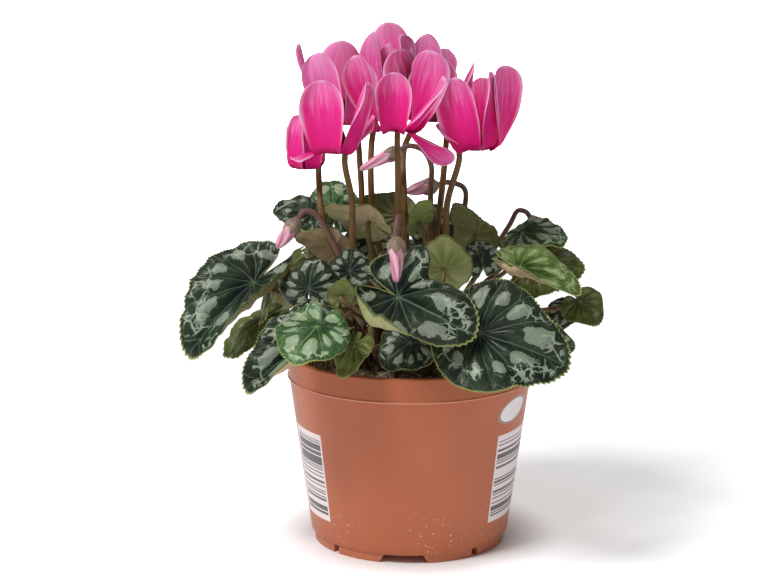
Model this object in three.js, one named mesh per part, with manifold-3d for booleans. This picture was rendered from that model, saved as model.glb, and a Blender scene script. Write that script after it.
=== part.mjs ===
// Potted cyclamen: a flowering plant in its 12 cm plastic nursery pot, in millimetres.
// The origin is the centre of the pot's foot, +Z points up and the plant's front faces -Y.
import * as THREE from 'three';
import { mergeVertices } from 'three/addons/utils/BufferGeometryUtils.js';
import Module from 'manifold-3d';

const wasm = await Module();
wasm.setup();

// Driving dimensions
const CLEARANCE = 0.3; // between pieces that touch
const POT = {
  height: 94,
  rimRadius: 60,
  rimBand: 11.5,
  ringProud: 0.5,
  wallTopRadius: 59.4,
  wallFootRadius: 48.9,
  footRadius: 47.5,
  footHeight: 4.5,
  wall: 1.2,
  sides: 32,
};
const NOTCH = { depth: 12, height: 4, wideTop: 19, wideFoot: 25, narrow: 3.5, turn: -4 };
const SOIL = { edgeTop: 85, roughness: 1.1, sides: 20, crownHole: 28 };
const TUBER = { radius: 27, top: 94, bottom: 64, sides: 14 };
const HOLE = { depth: 4.5, sides: 4 };
const LEAF = {
  thickness: 0.8, petioleRadius: 1.35, toothDepth: 0.028,
  sinusWidth: 7, slimAngle: 55, slimSpread: 28,
};
const SCAPE = { radius: 1.75, sides: 5, steps: 14, calyxRadius: 2.8, calyxTopRadius: 1.6, calyxHeight: 2.6 };
const BLOOM = {
  ringRadius: 6.3,
  lipBelow: 1,
  lipAbove: 1,
  boreRadius: 3.5,
  tubeRadius: 4.3,
  tubeHeight: 5.2,
  tubeSides: 8,
  petalThickness: 0.8,
};
const BUD = { collarRadius: 1.9, collarDepth: 1.5, sepalBelly: 2.5, sepalLength: 8, sides: 7 };

// Rings of points in a blade, as shares of the way to the margin, by the margin's step in degrees
const BLADE_RINGS = { 15: [0.45, 0.75, 0.9], 20: [0.6] };

// The hook of a scape behind and above a bloom, as [forward, above] from the middle of the mouth
const SCAPE_HOOK = [[-9.6, -6], [-9.4, 0], [-8, 4.5], [-5.4, 9], [-1.8, 10.4]];

// Rings of stalks on the tuber, by their radius
const CROWN_RINGS = { outer: 21, middle: 15.8, inner: 10.6, core: 5 };

const COLOURS = {
  pot: 0xa9603f,
  soil: 0x3d342c,
  tuber: 0x4a382b,
  leafDark: 0x3c5036,
  leafBright: 0x6d7b47,
  leafOlive: 0x5d6a33,
  scape: 0x785a36,
  petal: 0xe0378b,
  bud: 0x7a5a50,
};

const radians = THREE.MathUtils.degToRad;
const vector = (p) => new THREE.Vector3(...p);

// Repeatable pseudo-random numbers between 0 and 1
function seeded(seed) {
  let state = seed;
  return () => {
    state = (state * 16807) % 2147483647;
    return state / 2147483647;
  };
}

// A closed geometry as a solid
function solidOf(geometry) {
  const bare = geometry.clone();
  bare.deleteAttribute('normal');
  bare.deleteAttribute('uv');
  const merged = mergeVertices(bare, 1e-3);
  const triVerts = new Uint32Array(merged.index.array);
  const vertProperties = merged.attributes.position.array;
  const solid = new wasm.Manifold(new wasm.Mesh({ numProp: 3, vertProperties, triVerts }));
  if (solid.volume() > 0) return solid;
  for (let i = 0; i < triVerts.length; i += 3) {
    [triVerts[i + 1], triVerts[i + 2]] = [triVerts[i + 2], triVerts[i + 1]];
  }
  return new wasm.Manifold(new wasm.Mesh({ numProp: 3, vertProperties, triVerts }));
}

function join(solids) {
  return solids.reduce((whole, next) => whole.add(next));
}

// A solid as a named mesh with its own material
function meshOf(name, solid, colour, roughness) {
  const result = solid.getMesh();
  const positions = new Float32Array(result.numVert * 3);
  for (let i = 0; i < result.numVert; i += 1) {
    const start = i * result.numProp;
    positions.set(result.vertProperties.subarray(start, start + 3), i * 3);
  }
  const geometry = new THREE.BufferGeometry();
  geometry.setAttribute('position', new THREE.BufferAttribute(positions, 3));
  geometry.setIndex(new THREE.BufferAttribute(new Uint32Array(result.triVerts), 1));
  geometry.computeVertexNormals();
  const material = new THREE.MeshStandardMaterial({ color: colour, roughness, metalness: 0 });
  const mesh = new THREE.Mesh(geometry, material);
  mesh.name = name;
  return mesh;
}

// A solid of revolution about +Z from [radius, height] pairs
function turned(profile, sides) {
  const points = profile.map(([radius, height]) => new THREE.Vector2(radius, height));
  return solidOf(new THREE.LatheGeometry(points, sides).rotateX(Math.PI / 2));
}

// A curve through points with as many steps for each, so that a tight hook gets as many as a long stem
class StalkCurve extends THREE.CatmullRomCurve3 {
  getPointAt(share, target) {
    return this.getPoint(share, target);
  }

  getTangentAt(share, target) {
    return this.getTangent(share, target);
  }
}

// A round tube along a smooth curve through points
function tube(points, radius, sides, steps) {
  const curve = new StalkCurve(points, false, 'centripetal');
  const section = new THREE.Shape();
  for (let i = 0; i < sides; i += 1) {
    const angle = (i / sides) * 2 * Math.PI;
    const x = radius * Math.cos(angle);
    const y = radius * Math.sin(angle);
    if (i === 0) section.moveTo(x, y);
    else section.lineTo(x, y);
  }
  section.closePath();
  return solidOf(new THREE.ExtrudeGeometry(section, { steps, extrudePath: curve, bevelEnabled: false }));
}

// A sheet of even thickness over a grid of points, given as rows of equal length or as a fan of rings
function thickened(middle, triangles, boundary, thickness) {
  const flat = new THREE.BufferGeometry();
  flat.setAttribute('position', new THREE.Float32BufferAttribute(middle.flatMap((p) => p.toArray()), 3));
  flat.setIndex(triangles.flat());
  flat.computeVertexNormals();
  const count = middle.length;
  const positions = [];
  for (const side of [0.5, -0.5]) {
    for (let i = 0; i < count; i += 1) {
      const normal = new THREE.Vector3().fromBufferAttribute(flat.attributes.normal, i);
      positions.push(...middle[i].clone().addScaledVector(normal, side * thickness).toArray());
    }
  }
  const faces = [];
  for (const [a, b, c] of triangles) {
    faces.push(a, b, c, a + count, c + count, b + count);
  }
  boundary.forEach((a, i) => {
    const b = boundary[(i + 1) % boundary.length];
    faces.push(b, a, a + count, b, a + count, b + count);
  });
  const geometry = new THREE.BufferGeometry();
  geometry.setAttribute('position', new THREE.Float32BufferAttribute(positions, 3));
  geometry.setIndex(faces);
  return solidOf(geometry);
}

// The pot: a thin moulded shell with a rim band, a raised line and a notched foot

// A wedge-shaped block at the foot's edge, grown by a margin on every side
function notchBlock(turn, topWidth, footWidth, grow) {
  const outline = new THREE.Shape([
    new THREE.Vector2(-footWidth / 2 - grow, -1),
    new THREE.Vector2(footWidth / 2 + grow, -1),
    new THREE.Vector2(topWidth / 2 + grow, NOTCH.height + grow),
    new THREE.Vector2(-topWidth / 2 - grow, NOTCH.height + grow),
  ]);
  const reach = NOTCH.depth + grow;
  const block = new THREE.ExtrudeGeometry(outline, { depth: reach + 10, bevelEnabled: false });
  block.rotateX(Math.PI / 2);
  block.translate(0, -(POT.footRadius - reach), 0);
  block.rotateZ(radians(turn));
  return solidOf(block);
}

function notches(grow) {
  const blocks = [];
  for (let quarter = 0; quarter < 4; quarter += 1) {
    const turn = NOTCH.turn + 90 * quarter;
    blocks.push(notchBlock(turn, NOTCH.wideTop, NOTCH.wideFoot, grow));
    blocks.push(notchBlock(turn + 45, NOTCH.narrow, NOTCH.narrow, grow));
  }
  return join(blocks);
}

// The space inside the wall, from its floor to above the rim, shrunk by a margin
function potInterior(shrink) {
  const floor = POT.wall + shrink;
  const footInside = POT.footRadius - POT.wall - shrink;
  const topInside = POT.wallTopRadius - POT.wall - shrink;
  const above = POT.height + 1;
  return turned([[0, floor], [footInside, floor], [topInside, above], [0, above]], POT.sides);
}

function potSolid() {
  const bandFoot = POT.height - POT.rimBand;
  const outside = turned([
    [0, 0],
    [POT.footRadius, 0],
    [POT.footRadius, POT.footHeight],
    [POT.wallFootRadius, POT.footHeight + 0.6],
    [POT.wallTopRadius, bandFoot - 0.5],
    [POT.rimRadius + POT.ringProud, bandFoot],
    [POT.rimRadius - 0.1, bandFoot + 0.6],
    [POT.rimRadius, POT.height - 0.6],
    [POT.rimRadius - 0.5, POT.height],
    [0, POT.height],
  ], POT.sides);
  const notchCovers = notches(POT.wall).intersect(outside);
  return outside.subtract(potInterior(0)).add(notchCovers).subtract(notches(0));
}

// The soil fills the pot to a little below the rim, round the tuber
function soilSolid() {
  const random = seeded(71);
  const edge = POT.wallTopRadius;
  const profile = [[0, SOIL.edgeTop - 6], [edge, SOIL.edgeTop - 6], [edge, SOIL.edgeTop]];
  for (const share of [0.82, 0.6]) profile.push([edge * share, SOIL.edgeTop + 1.5 * (1 - share)]);
  profile.push([0, SOIL.edgeTop + 1]);
  const surface = new THREE.LatheGeometry(profile.map(([x, y]) => new THREE.Vector2(x, y)), SOIL.sides);
  surface.rotateX(Math.PI / 2);
  const merged = mergeVertices(surface.deleteAttribute('uv').deleteAttribute('normal'), 1e-3);
  const position = merged.attributes.position;
  for (let i = 0; i < position.count; i += 1) {
    const radius = Math.hypot(position.getX(i), position.getY(i));
    if (position.getZ(i) < SOIL.edgeTop || radius > edge - 1 || radius < SOIL.crownHole) continue;
    position.setZ(i, position.getZ(i) + (random() - 0.5) * 2 * SOIL.roughness);
  }
  const below = turned([
    [0, 0], [edge, 0], [edge, SOIL.edgeTop - 5], [0, SOIL.edgeTop - 5],
  ], SOIL.sides);
  const crownHole = turned([
    [0, SOIL.edgeTop - 4],
    [SOIL.crownHole - 2, SOIL.edgeTop - 4],
    [SOIL.crownHole, SOIL.edgeTop + 9],
    [0, SOIL.edgeTop + 9],
  ], TUBER.sides);
  return solidOf(merged).add(below)
    .intersect(potInterior(CLEARANCE))
    .subtract(notches(POT.wall + CLEARANCE))
    .subtract(tuberForm(CLEARANCE))
    .subtract(crownHole);
}

// The tuber is a flattened ball, half in the soil, with a plain hole for each stalk
function tuberForm(grow) {
  const middle = (TUBER.top + TUBER.bottom) / 2;
  const halfHeight = (TUBER.top - TUBER.bottom) / 2;
  const profile = [];
  const steps = 5;
  for (let i = 0; i <= steps; i += 1) {
    const angle = -Math.PI / 2 + (Math.PI * i) / steps;
    const radius = Math.abs(Math.cos(angle)) ** 0.6 * (TUBER.radius + grow);
    profile.push([i === 0 || i === steps ? 0 : radius, middle + Math.sin(angle) * (halfHeight + grow)]);
  }
  return turned(profile, TUBER.sides);
}

function tuberSolid(roots) {
  const holes = roots.map((root) => {
    const radius = (root.radius + CLEARANCE) / Math.cos(Math.PI / HOLE.sides);
    const hole = new THREE.CylinderGeometry(radius, radius, 20, HOLE.sides);
    hole.rotateX(Math.PI / 2);
    hole.translate(root.foot.x, root.foot.y, root.foot.z - CLEARANCE + 10);
    return solidOf(hole);
  });
  return tuberForm(0).subtract(join(holes));
}

// Leaves

// Distance from the petiole to the margin, as a share of the distance to the tip
function marginAt(leaf, angle) {
  const fromTip = Math.abs(angle);
  const heart = 0.6 + 0.1 * Math.cos(radians(fromTip)) + 0.3 * Math.exp(-((fromTip / 25) ** 2));
  const slim = angle < 0 ? leaf.slimLeft : 0;
  const drawnIn = slim * Math.exp(-(((fromTip - LEAF.slimAngle) / LEAF.slimSpread) ** 2));
  const notch = Math.exp(-(((180 - fromTip) / LEAF.sinusWidth) ** 2));
  return heart * (1 - drawnIn) * (1 - 0.9 * notch);
}

// Angles of the margin's points, closer together at the notch behind the petiole
function marginAngles(step) {
  const angles = [];
  for (let angle = -165 + (165 % step); angle < 166; angle += step) angles.push(angle);
  const sinus = step > 15 ? [170, 180, -170] : [167, 174, 180, -174, -167];
  return [...angles.filter((angle) => Math.abs(angle) < 164), ...sinus];
}

// How far the margin rolls up, in degrees, from its four named amounts
function marginRoll(leaf, angle) {
  const end = Math.abs(angle) < 90 ? leaf.turnTip : leaf.turnBack;
  const side = angle > 0 ? leaf.turnRight : leaf.turnLeft;
  return side + (end - side) * Math.cos(radians(angle)) ** 4;
}

// A point of the blade's middle surface: an angle from the tip and a share of the way to the margin
function leafPoint(leaf, angle, share, tooth = 1) {
  const reach = share * marginAt(leaf, angle) * tooth;
  const roll = marginRoll(leaf, angle);
  const strips = 12;
  let flat = 0;
  let lift = 0;
  for (let i = 0; i < strips; i += 1) {
    const slope = radians(roll * ((share * (i + 0.5)) / strips) ** leaf.edge);
    flat += (Math.cos(slope) * reach) / strips;
    lift += (Math.sin(slope) * reach) / strips;
  }
  const along = flat * Math.cos(radians(angle));
  const across = flat * Math.sin(radians(angle)) * leaf.width;
  const fold = radians(leaf.fold);
  const y = Math.cos(fold) * across;
  const z = Math.sin(fold) * Math.abs(across) + lift;
  const droop = along > 0 ? -4 * leaf.bow : leaf.lobes;
  const arch = 4 * leaf.bow * along + droop * along * along;
  const wave = leaf.wave * share * share * Math.sin(radians(angle) * leaf.waves + leaf.phase);
  const frame = leafFrame(leaf);
  return vector(leaf.at)
    .addScaledVector(frame.forward, along * frame.length)
    .addScaledVector(frame.right, y * frame.length)
    .addScaledVector(frame.up, (z + arch + wave) * frame.length);
}

// The blade's directions: forward to the tip, right when seen from the petiole, and up out of the upper face
function leafFrame(leaf) {
  const span = vector(leaf.tip).sub(vector(leaf.at));
  const forward = span.clone().normalize();
  const level = new THREE.Vector3().crossVectors(forward, new THREE.Vector3(0, 0, 1)).normalize();
  const above = new THREE.Vector3().crossVectors(level, forward);
  const roll = radians(leaf.roll);
  const right = level.clone().multiplyScalar(Math.cos(roll)).addScaledVector(above, Math.sin(roll));
  const up = above.clone().multiplyScalar(Math.cos(roll)).addScaledVector(level, -Math.sin(roll));
  return { length: span.length(), forward, right, up };
}

function bladeSolid(leaf) {
  const angles = marginAngles(leaf.step);
  const count = angles.length;
  const rings = BLADE_RINGS[leaf.step];
  const middle = [leafPoint(leaf, 0, 0)];
  for (const share of rings) {
    for (let i = 0; i < count; i += 2) middle.push(leafPoint(leaf, angles[i], share));
  }
  angles.forEach((angle, i) => {
    const plain = Math.abs(angle) > 166;
    const tooth = plain ? 1 : 1 + LEAF.toothDepth * (i % 2 === 0 ? 1 : -1);
    middle.push(leafPoint(leaf, angle, 1, tooth));
  });
  const half = count / 2;
  const edgeStart = 1 + rings.length * half;
  const triangles = [];
  for (let i = 0; i < half; i += 1) {
    const next = (i + 1) % half;
    const inner = 1 + i;
    const innerNext = 1 + next;
    const outer = inner + half * (rings.length - 1);
    const outerNext = innerNext + half * (rings.length - 1);
    const edge = edgeStart + 2 * i;
    const edgeMiddle = edge + 1;
    const edgeNext = edgeStart + 2 * next;
    triangles.push([0, inner, innerNext]);
    triangles.push([outer, edge, edgeMiddle], [outer, edgeMiddle, outerNext]);
    triangles.push([outerNext, edgeMiddle, edgeNext]);
    for (let ring = 1; ring < rings.length; ring += 1) {
      const from = inner + half * (ring - 1);
      const fromNext = innerNext + half * (ring - 1);
      triangles.push([from, from + half, fromNext + half], [from, fromNext + half, fromNext]);
    }
  }
  const boundary = angles.map((angle, i) => edgeStart + i);
  const flipped = triangles.map(([a, b, c]) => [a, c, b]);
  return thickened(middle, flipped, boundary.reverse(), LEAF.thickness);
}

// Where a stalk leaves its hole
const aboveHole = (foot) => foot.clone().add(new THREE.Vector3(0, 0, HOLE.depth + 1));

// The petiole rises from its hole in the tuber and meets the blade from below
function petiolePoints(leaf, foot) {
  const frame = leafFrame(leaf);
  const end = vector(leaf.at).addScaledVector(frame.up, -LEAF.thickness / 8);
  const neck = vector(leaf.at).addScaledVector(frame.up, -3);
  const reach = end.distanceTo(foot);
  const rise = foot.clone().add(new THREE.Vector3(0, 0, reach * leaf.rise));
  rise.add(vector(leaf.bend));
  const arrive = neck.clone()
    .addScaledVector(frame.up, -reach * leaf.under)
    .addScaledVector(frame.forward, -reach * leaf.behind);
  const collar = aboveHole(foot);
  const curve = new THREE.CubicBezierCurve3(collar, rise, arrive, neck);
  return [foot, ...curve.getPoints(3), end];
}

function leafSolid(leaf, foot) {
  const petiole = tube(petiolePoints(leaf, foot), LEAF.petioleRadius, 5, 5);
  return bladeSolid(leaf).add(petiole);
}

const LEAF_DEFAULTS = {
  roll: 0, width: 1, slimLeft: 0, bow: 0.05, lobes: 0, fold: 0, edge: 2,
  turnTip: -20, turnLeft: -20, turnRight: -20, turnBack: -10,
  wave: 0.03, waves: 3, phase: 0, step: 15, rise: 0.45, under: 0.2, behind: 0.03, bend: [0, 0, 0],
  ring: 'outer', colour: 'leafDark',
};

// Each leaf by where its petiole meets the blade and where its tip is
const LEAVES = [
  {
    name: 'leaf_left_large', at: [-75, -21, 132], tip: [-106, -36, 99], roll: 30, fold: 20,
    width: 0.9, bow: 0.08, turnLeft: 130, turnTip: -10, turnBack: 40, edge: 4, step: 15,
  },
  {
    name: 'leaf_left_behind', at: [-62, 4, 134], tip: [-76, -4, 108], roll: -25, width: 0.7,
    rise: 0.3, colour: 'leafOlive', step: 20,
  },
  {
    name: 'leaf_left_under', at: [-72, 8, 108], tip: [-92, -6, 93], roll: 10, width: 0.8,
    colour: 'leafOlive', step: 20,
  },
  {
    name: 'leaf_left_low', at: [-45, -55, 111], tip: [-78, -65, 91], roll: 40, fold: 20, width: 0.9,
    turnLeft: 200, turnTip: -20, edge: 2.5, step: 15,
  },
  {
    name: 'leaf_front_heart', at: [-43, -73, 122], tip: [-55, -86, 110], roll: 5, width: 1.8,
    lobes: 1.5, turnLeft: -100, turnRight: -30, rise: 0.9, bend: [4, 10, 0], step: 15,
  },
  {
    name: 'leaf_front_left', at: [-48, -36, 132], tip: [-46, -28, 150], roll: 0, width: 1.3,
    turnTip: -80, turnLeft: -40, turnRight: -40, step: 20, ring: 'middle',
  },
  {
    name: 'leaf_front_mid', at: [-29, -28, 139], tip: [-28, -18, 153], roll: 0, width: 1.1,
    turnTip: -80, turnLeft: -40, turnRight: -40, step: 20, ring: 'middle',
  },
  {
    name: 'leaf_centre_large', at: [-6, -59, 133], tip: [29, -80, 119], roll: -55, fold: 14,
    width: 1.3, turnRight: 190, turnLeft: -70, turnTip: 0, turnBack: 60, edge: 2.5, rise: 0.6,
    step: 15, slimLeft: 0.45,
  },
  {
    name: 'leaf_right_large', at: [31, -70, 118], tip: [72, -80, 106], roll: -55, width: 1.12,
    fold: 14, turnLeft: -35, turnRight: -30, step: 15,
  },
  {
    name: 'leaf_right_bright', at: [52, -25, 140], tip: [79, -42, 133], roll: -50, fold: 10,
    width: 0.7, turnRight: 200, turnBack: 60, edge: 2, colour: 'leafBright',
  },
  {
    name: 'leaf_right_top', at: [56, 19, 149], tip: [77, 8, 149], roll: -22, width: 1.2, step: 20,
    ring: 'middle',
  },
  {
    name: 'leaf_right_olive', at: [62, 10, 134], tip: [86, 5, 135], roll: -50, width: 1.1,
    colour: 'leafOlive', step: 20,
  },
  {
    name: 'leaf_right_low', at: [82, -13, 121], tip: [91, -21, 112], roll: -40, width: 1.2,
    colour: 'leafOlive', step: 20,
  },
  { name: 'leaf_right_pink', at: [77, 2, 115], tip: [71, -6, 106], roll: 20, width: 1.1, step: 20 },
  {
    name: 'leaf_right_edge', at: [62, -40, 108], tip: [77, -46, 106], roll: -60, width: 1.0,
    step: 20,
  },
  {
    name: 'leaf_front_shade', at: [0, -41, 107], tip: [-14, -47, 98], roll: 30, width: 1.5,
    step: 20,
  },
  {
    name: 'leaf_front_olive', at: [-26, -60, 110], tip: [-33, -69, 97], roll: 0, width: 0.9,
    colour: 'leafOlive', step: 20,
  },
  {
    name: 'leaf_front_pale', at: [-33, -42, 130], tip: [-32, -47, 140], width: 1.0, step: 20,
    rise: 0.5, ring: 'middle',
  },
  {
    name: 'leaf_left_pale', at: [-37, 7, 145], tip: [-57, 4, 153], roll: -50, width: 0.9, rise: 0.3,
    bend: [0, 16, 0], ring: 'middle', step: 20,
  },
  {
    name: 'leaf_back_left', at: [-49, 18, 159], tip: [-68, 23, 163], roll: 30, width: 1.1,
    ring: 'middle', step: 20,
  },
  {
    name: 'leaf_back_left_tall', at: [-38, 31, 158], tip: [-40, 51, 173], width: 1.0,
    ring: 'middle', step: 20,
  },
  {
    name: 'leaf_inner_beige', at: [-20, 1, 158], tip: [-44, 0, 167], roll: -42, width: 0.9,
    ring: 'inner', step: 20,
  },
  {
    name: 'leaf_inner_top', at: [-6, 29, 156], tip: [-25, 25, 166], roll: -80, width: 0.9,
    ring: 'middle', step: 20,
  },
  {
    name: 'leaf_inner_centre', at: [4, -2, 158], tip: [8, -9, 172], roll: 0, width: 0.8,
    ring: 'inner', step: 20,
  },
  {
    name: 'leaf_inner_dark', at: [11, 14, 150], tip: [13, 28, 164], roll: 0, width: 0.9,
    ring: 'inner', step: 20,
  },
  {
    name: 'leaf_back_right_pale', at: [33, 23, 148], tip: [25, 13, 167], roll: 0, width: 1.1,
    ring: 'middle', step: 20,
  },
  {
    name: 'leaf_inner_pale', at: [16, -18, 138], tip: [16, -30, 158], width: 1.0, rise: 0.3,
    ring: 'middle', step: 20,
  },
  {
    name: 'leaf_inner_right', at: [35, -3, 139], tip: [34, 8, 149], width: 1.2, ring: 'middle',
    step: 20,
  },
  {
    name: 'leaf_inner_mid', at: [-12, -25, 137], tip: [-12, -17, 147], width: 1.0, ring: 'inner',
    step: 20,
  },
  { name: 'leaf_back_1', at: [-52, 50, 130], tip: [-70, 64, 98], width: 1.0, step: 20 },
  { name: 'leaf_back_2', at: [-28, 60, 122], tip: [-36, 74, 82], width: 0.8, step: 20 },
  { name: 'leaf_back_3', at: [14, 60, 136], tip: [14, 96, 114], width: 1.0, step: 20 },
  { name: 'leaf_back_4', at: [54, 50, 130], tip: [78, 76, 112], width: 1.0, step: 20 },
  {
    name: 'leaf_back_5', at: [-20, 42, 141], tip: [-20, 60, 151], width: 1.1, step: 20, ring: 'middle',
  },
];

// Flowers

// The directions of a bloom: its axis up from the mouth, front towards where it faces, and side
function bloomFrame(flower) {
  const facing = radians(flower.facing);
  const level = new THREE.Vector3(Math.cos(facing), Math.sin(facing), 0);
  const lean = radians(flower.lean);
  const axis = new THREE.Vector3(0, 0, Math.cos(lean)).addScaledVector(level, -Math.sin(lean));
  const front = level.clone().multiplyScalar(Math.cos(lean)).add(new THREE.Vector3(0, 0, Math.sin(lean)));
  const side = new THREE.Vector3().crossVectors(axis, front);
  return { axis, front, side };
}

// A point of a bloom at a distance in front of its axis and above its mouth
function bloomPoint(flower, forward, above) {
  const { axis, front } = bloomFrame(flower);
  return vector(flower.mouth).addScaledVector(front, forward).addScaledVector(axis, above);
}

// Half the width of a petal, as a share of its widest, from its claw to its round tip
function petalHalfWidth(share) {
  const widest = 0.66;
  if (share > widest) return Math.sqrt(1 - ((share - widest) / (1 - widest)) ** 2);
  return 0.55 + 0.45 * Math.sin((Math.PI / 2) * (share / widest));
}

// A point of a petal's middle surface: a share of its length and -1 to 1 across
function petalPoint(flower, petal, share, across) {
  const { axis, front, side } = bloomFrame(flower);
  const azimuth = radians(petal.azimuth);
  const outward = front.clone().multiplyScalar(Math.cos(azimuth)).addScaledVector(side, Math.sin(azimuth));
  const sideways = new THREE.Vector3().crossVectors(axis, outward);
  const bendEnd = 0.16;
  const bendBy = 95 - petal.lean;
  const slopeAt = (at) => radians(petal.lean + petal.curl * at + bendBy * Math.max(0, 1 - at / bendEnd));
  const strips = 16;
  let forward = BLOOM.ringRadius - 1.5;
  let above = 0;
  for (let i = 0; i < strips; i += 1) {
    const slope = slopeAt((share * (i + 0.5)) / strips);
    forward += (Math.sin(slope) * petal.length * share) / strips;
    above += (Math.cos(slope) * petal.length * share) / strips;
  }
  const slope = slopeAt(share);
  const twist = radians(petal.twist * share);
  const normal = outward.clone().multiplyScalar(Math.cos(slope)).addScaledVector(axis, -Math.sin(slope));
  const wide = sideways.clone().multiplyScalar(Math.cos(twist)).addScaledVector(normal, Math.sin(twist));
  const face = normal.clone().multiplyScalar(Math.cos(twist)).addScaledVector(sideways, -Math.sin(twist));
  const half = (petalHalfWidth(share) * petal.width) / 2;
  const offset = new THREE.Vector3()
    .addScaledVector(outward, forward - BLOOM.ringRadius)
    .addScaledVector(axis, above)
    .addScaledVector(wide, half * across)
    .addScaledVector(face, petal.cup * half * across * across);
  offset.applyAxisAngle(outward, radians(petal.sway));
  return vector(flower.mouth).addScaledVector(outward, BLOOM.ringRadius).add(offset);
}

function petalSolid(flower, petal) {
  const lengthwise = 4;
  const crosswise = 2;
  const middle = [];
  for (let i = 0; i <= lengthwise; i += 1) {
    const share = 0.02 + 0.98 * (i / lengthwise) ** 0.85;
    for (let j = 0; j <= crosswise; j += 1) {
      middle.push(petalPoint(flower, petal, Math.min(share, 0.985), (2 * j) / crosswise - 1));
    }
  }
  const row = crosswise + 1;
  const triangles = [];
  for (let i = 0; i < lengthwise; i += 1) {
    for (let j = 0; j < crosswise; j += 1) {
      const a = i * row + j;
      triangles.push([a, a + 1, a + row + 1], [a, a + row + 1, a + row]);
    }
  }
  const boundary = [];
  for (let j = 0; j < row; j += 1) boundary.push(j);
  for (let i = 1; i <= lengthwise; i += 1) boundary.push(i * row + crosswise);
  for (let j = crosswise - 1; j >= 0; j -= 1) boundary.push(lengthwise * row + j);
  for (let i = lengthwise - 1; i > 0; i -= 1) boundary.push(i * row);
  return thickened(middle, triangles, boundary, BLOOM.petalThickness);
}

// Turns a solid made about +Z so that +Z lies along a direction, and moves it to a place
function placed(solid, direction, place) {
  const up = new THREE.Vector3(0, 0, 1);
  const turn = new THREE.Quaternion().setFromUnitVectors(up, direction.clone().normalize());
  const matrix = new THREE.Matrix4().compose(place, turn, new THREE.Vector3(1, 1, 1));
  return solid.transform(matrix.elements);
}

// The short tube of a bloom, open at the mouth
function tubeSolid() {
  const { ringRadius, lipBelow, lipAbove, boreRadius, tubeRadius, tubeHeight, tubeSides } = BLOOM;
  const wall = ringRadius - tubeRadius;
  return turned([
    [0, tubeHeight - wall],
    [boreRadius, -lipBelow],
    [ringRadius, -lipBelow],
    [ringRadius, lipAbove],
    [tubeRadius, tubeHeight - 0.8 * wall],
    [0, tubeHeight],
  ], tubeSides);
}

function bloomSolid(flower) {
  const { axis } = bloomFrame(flower);
  const petals = flower.petals.map((petal) => petalSolid(flower, { ...PETAL_DEFAULTS, ...petal }));
  return join([placed(tubeSolid(), axis, vector(flower.mouth)), ...petals]);
}

// The scape passes behind the mouth between two petals and hooks down to the calyx above the tube
function scapeSolid(flower, foot) {
  const { axis } = bloomFrame(flower);
  const seat = BLOOM.tubeHeight + CLEARANCE;
  const top = seat + SCAPE.calyxHeight;
  const hook = SCAPE_HOOK.map(([forward, above]) => bloomPoint(flower, forward, above));
  const end = bloomPoint(flower, 0, (seat + 3 * top) / 4);
  const path = [foot, aboveHole(foot), ...flower.via.map(vector), ...hook, end];
  const profile = [[0, seat], [SCAPE.calyxRadius, seat], [SCAPE.calyxTopRadius, top], [0, top]];
  const calyx = placed(turned(profile, 6), axis, vector(flower.mouth));
  return tube(path, SCAPE.radius, SCAPE.sides, SCAPE.steps).add(calyx);
}

const PETAL_DEFAULTS = { length: 40, width: 22, lean: 14, curl: -6, twist: 12, sway: 0, cup: 0.25 };

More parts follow.
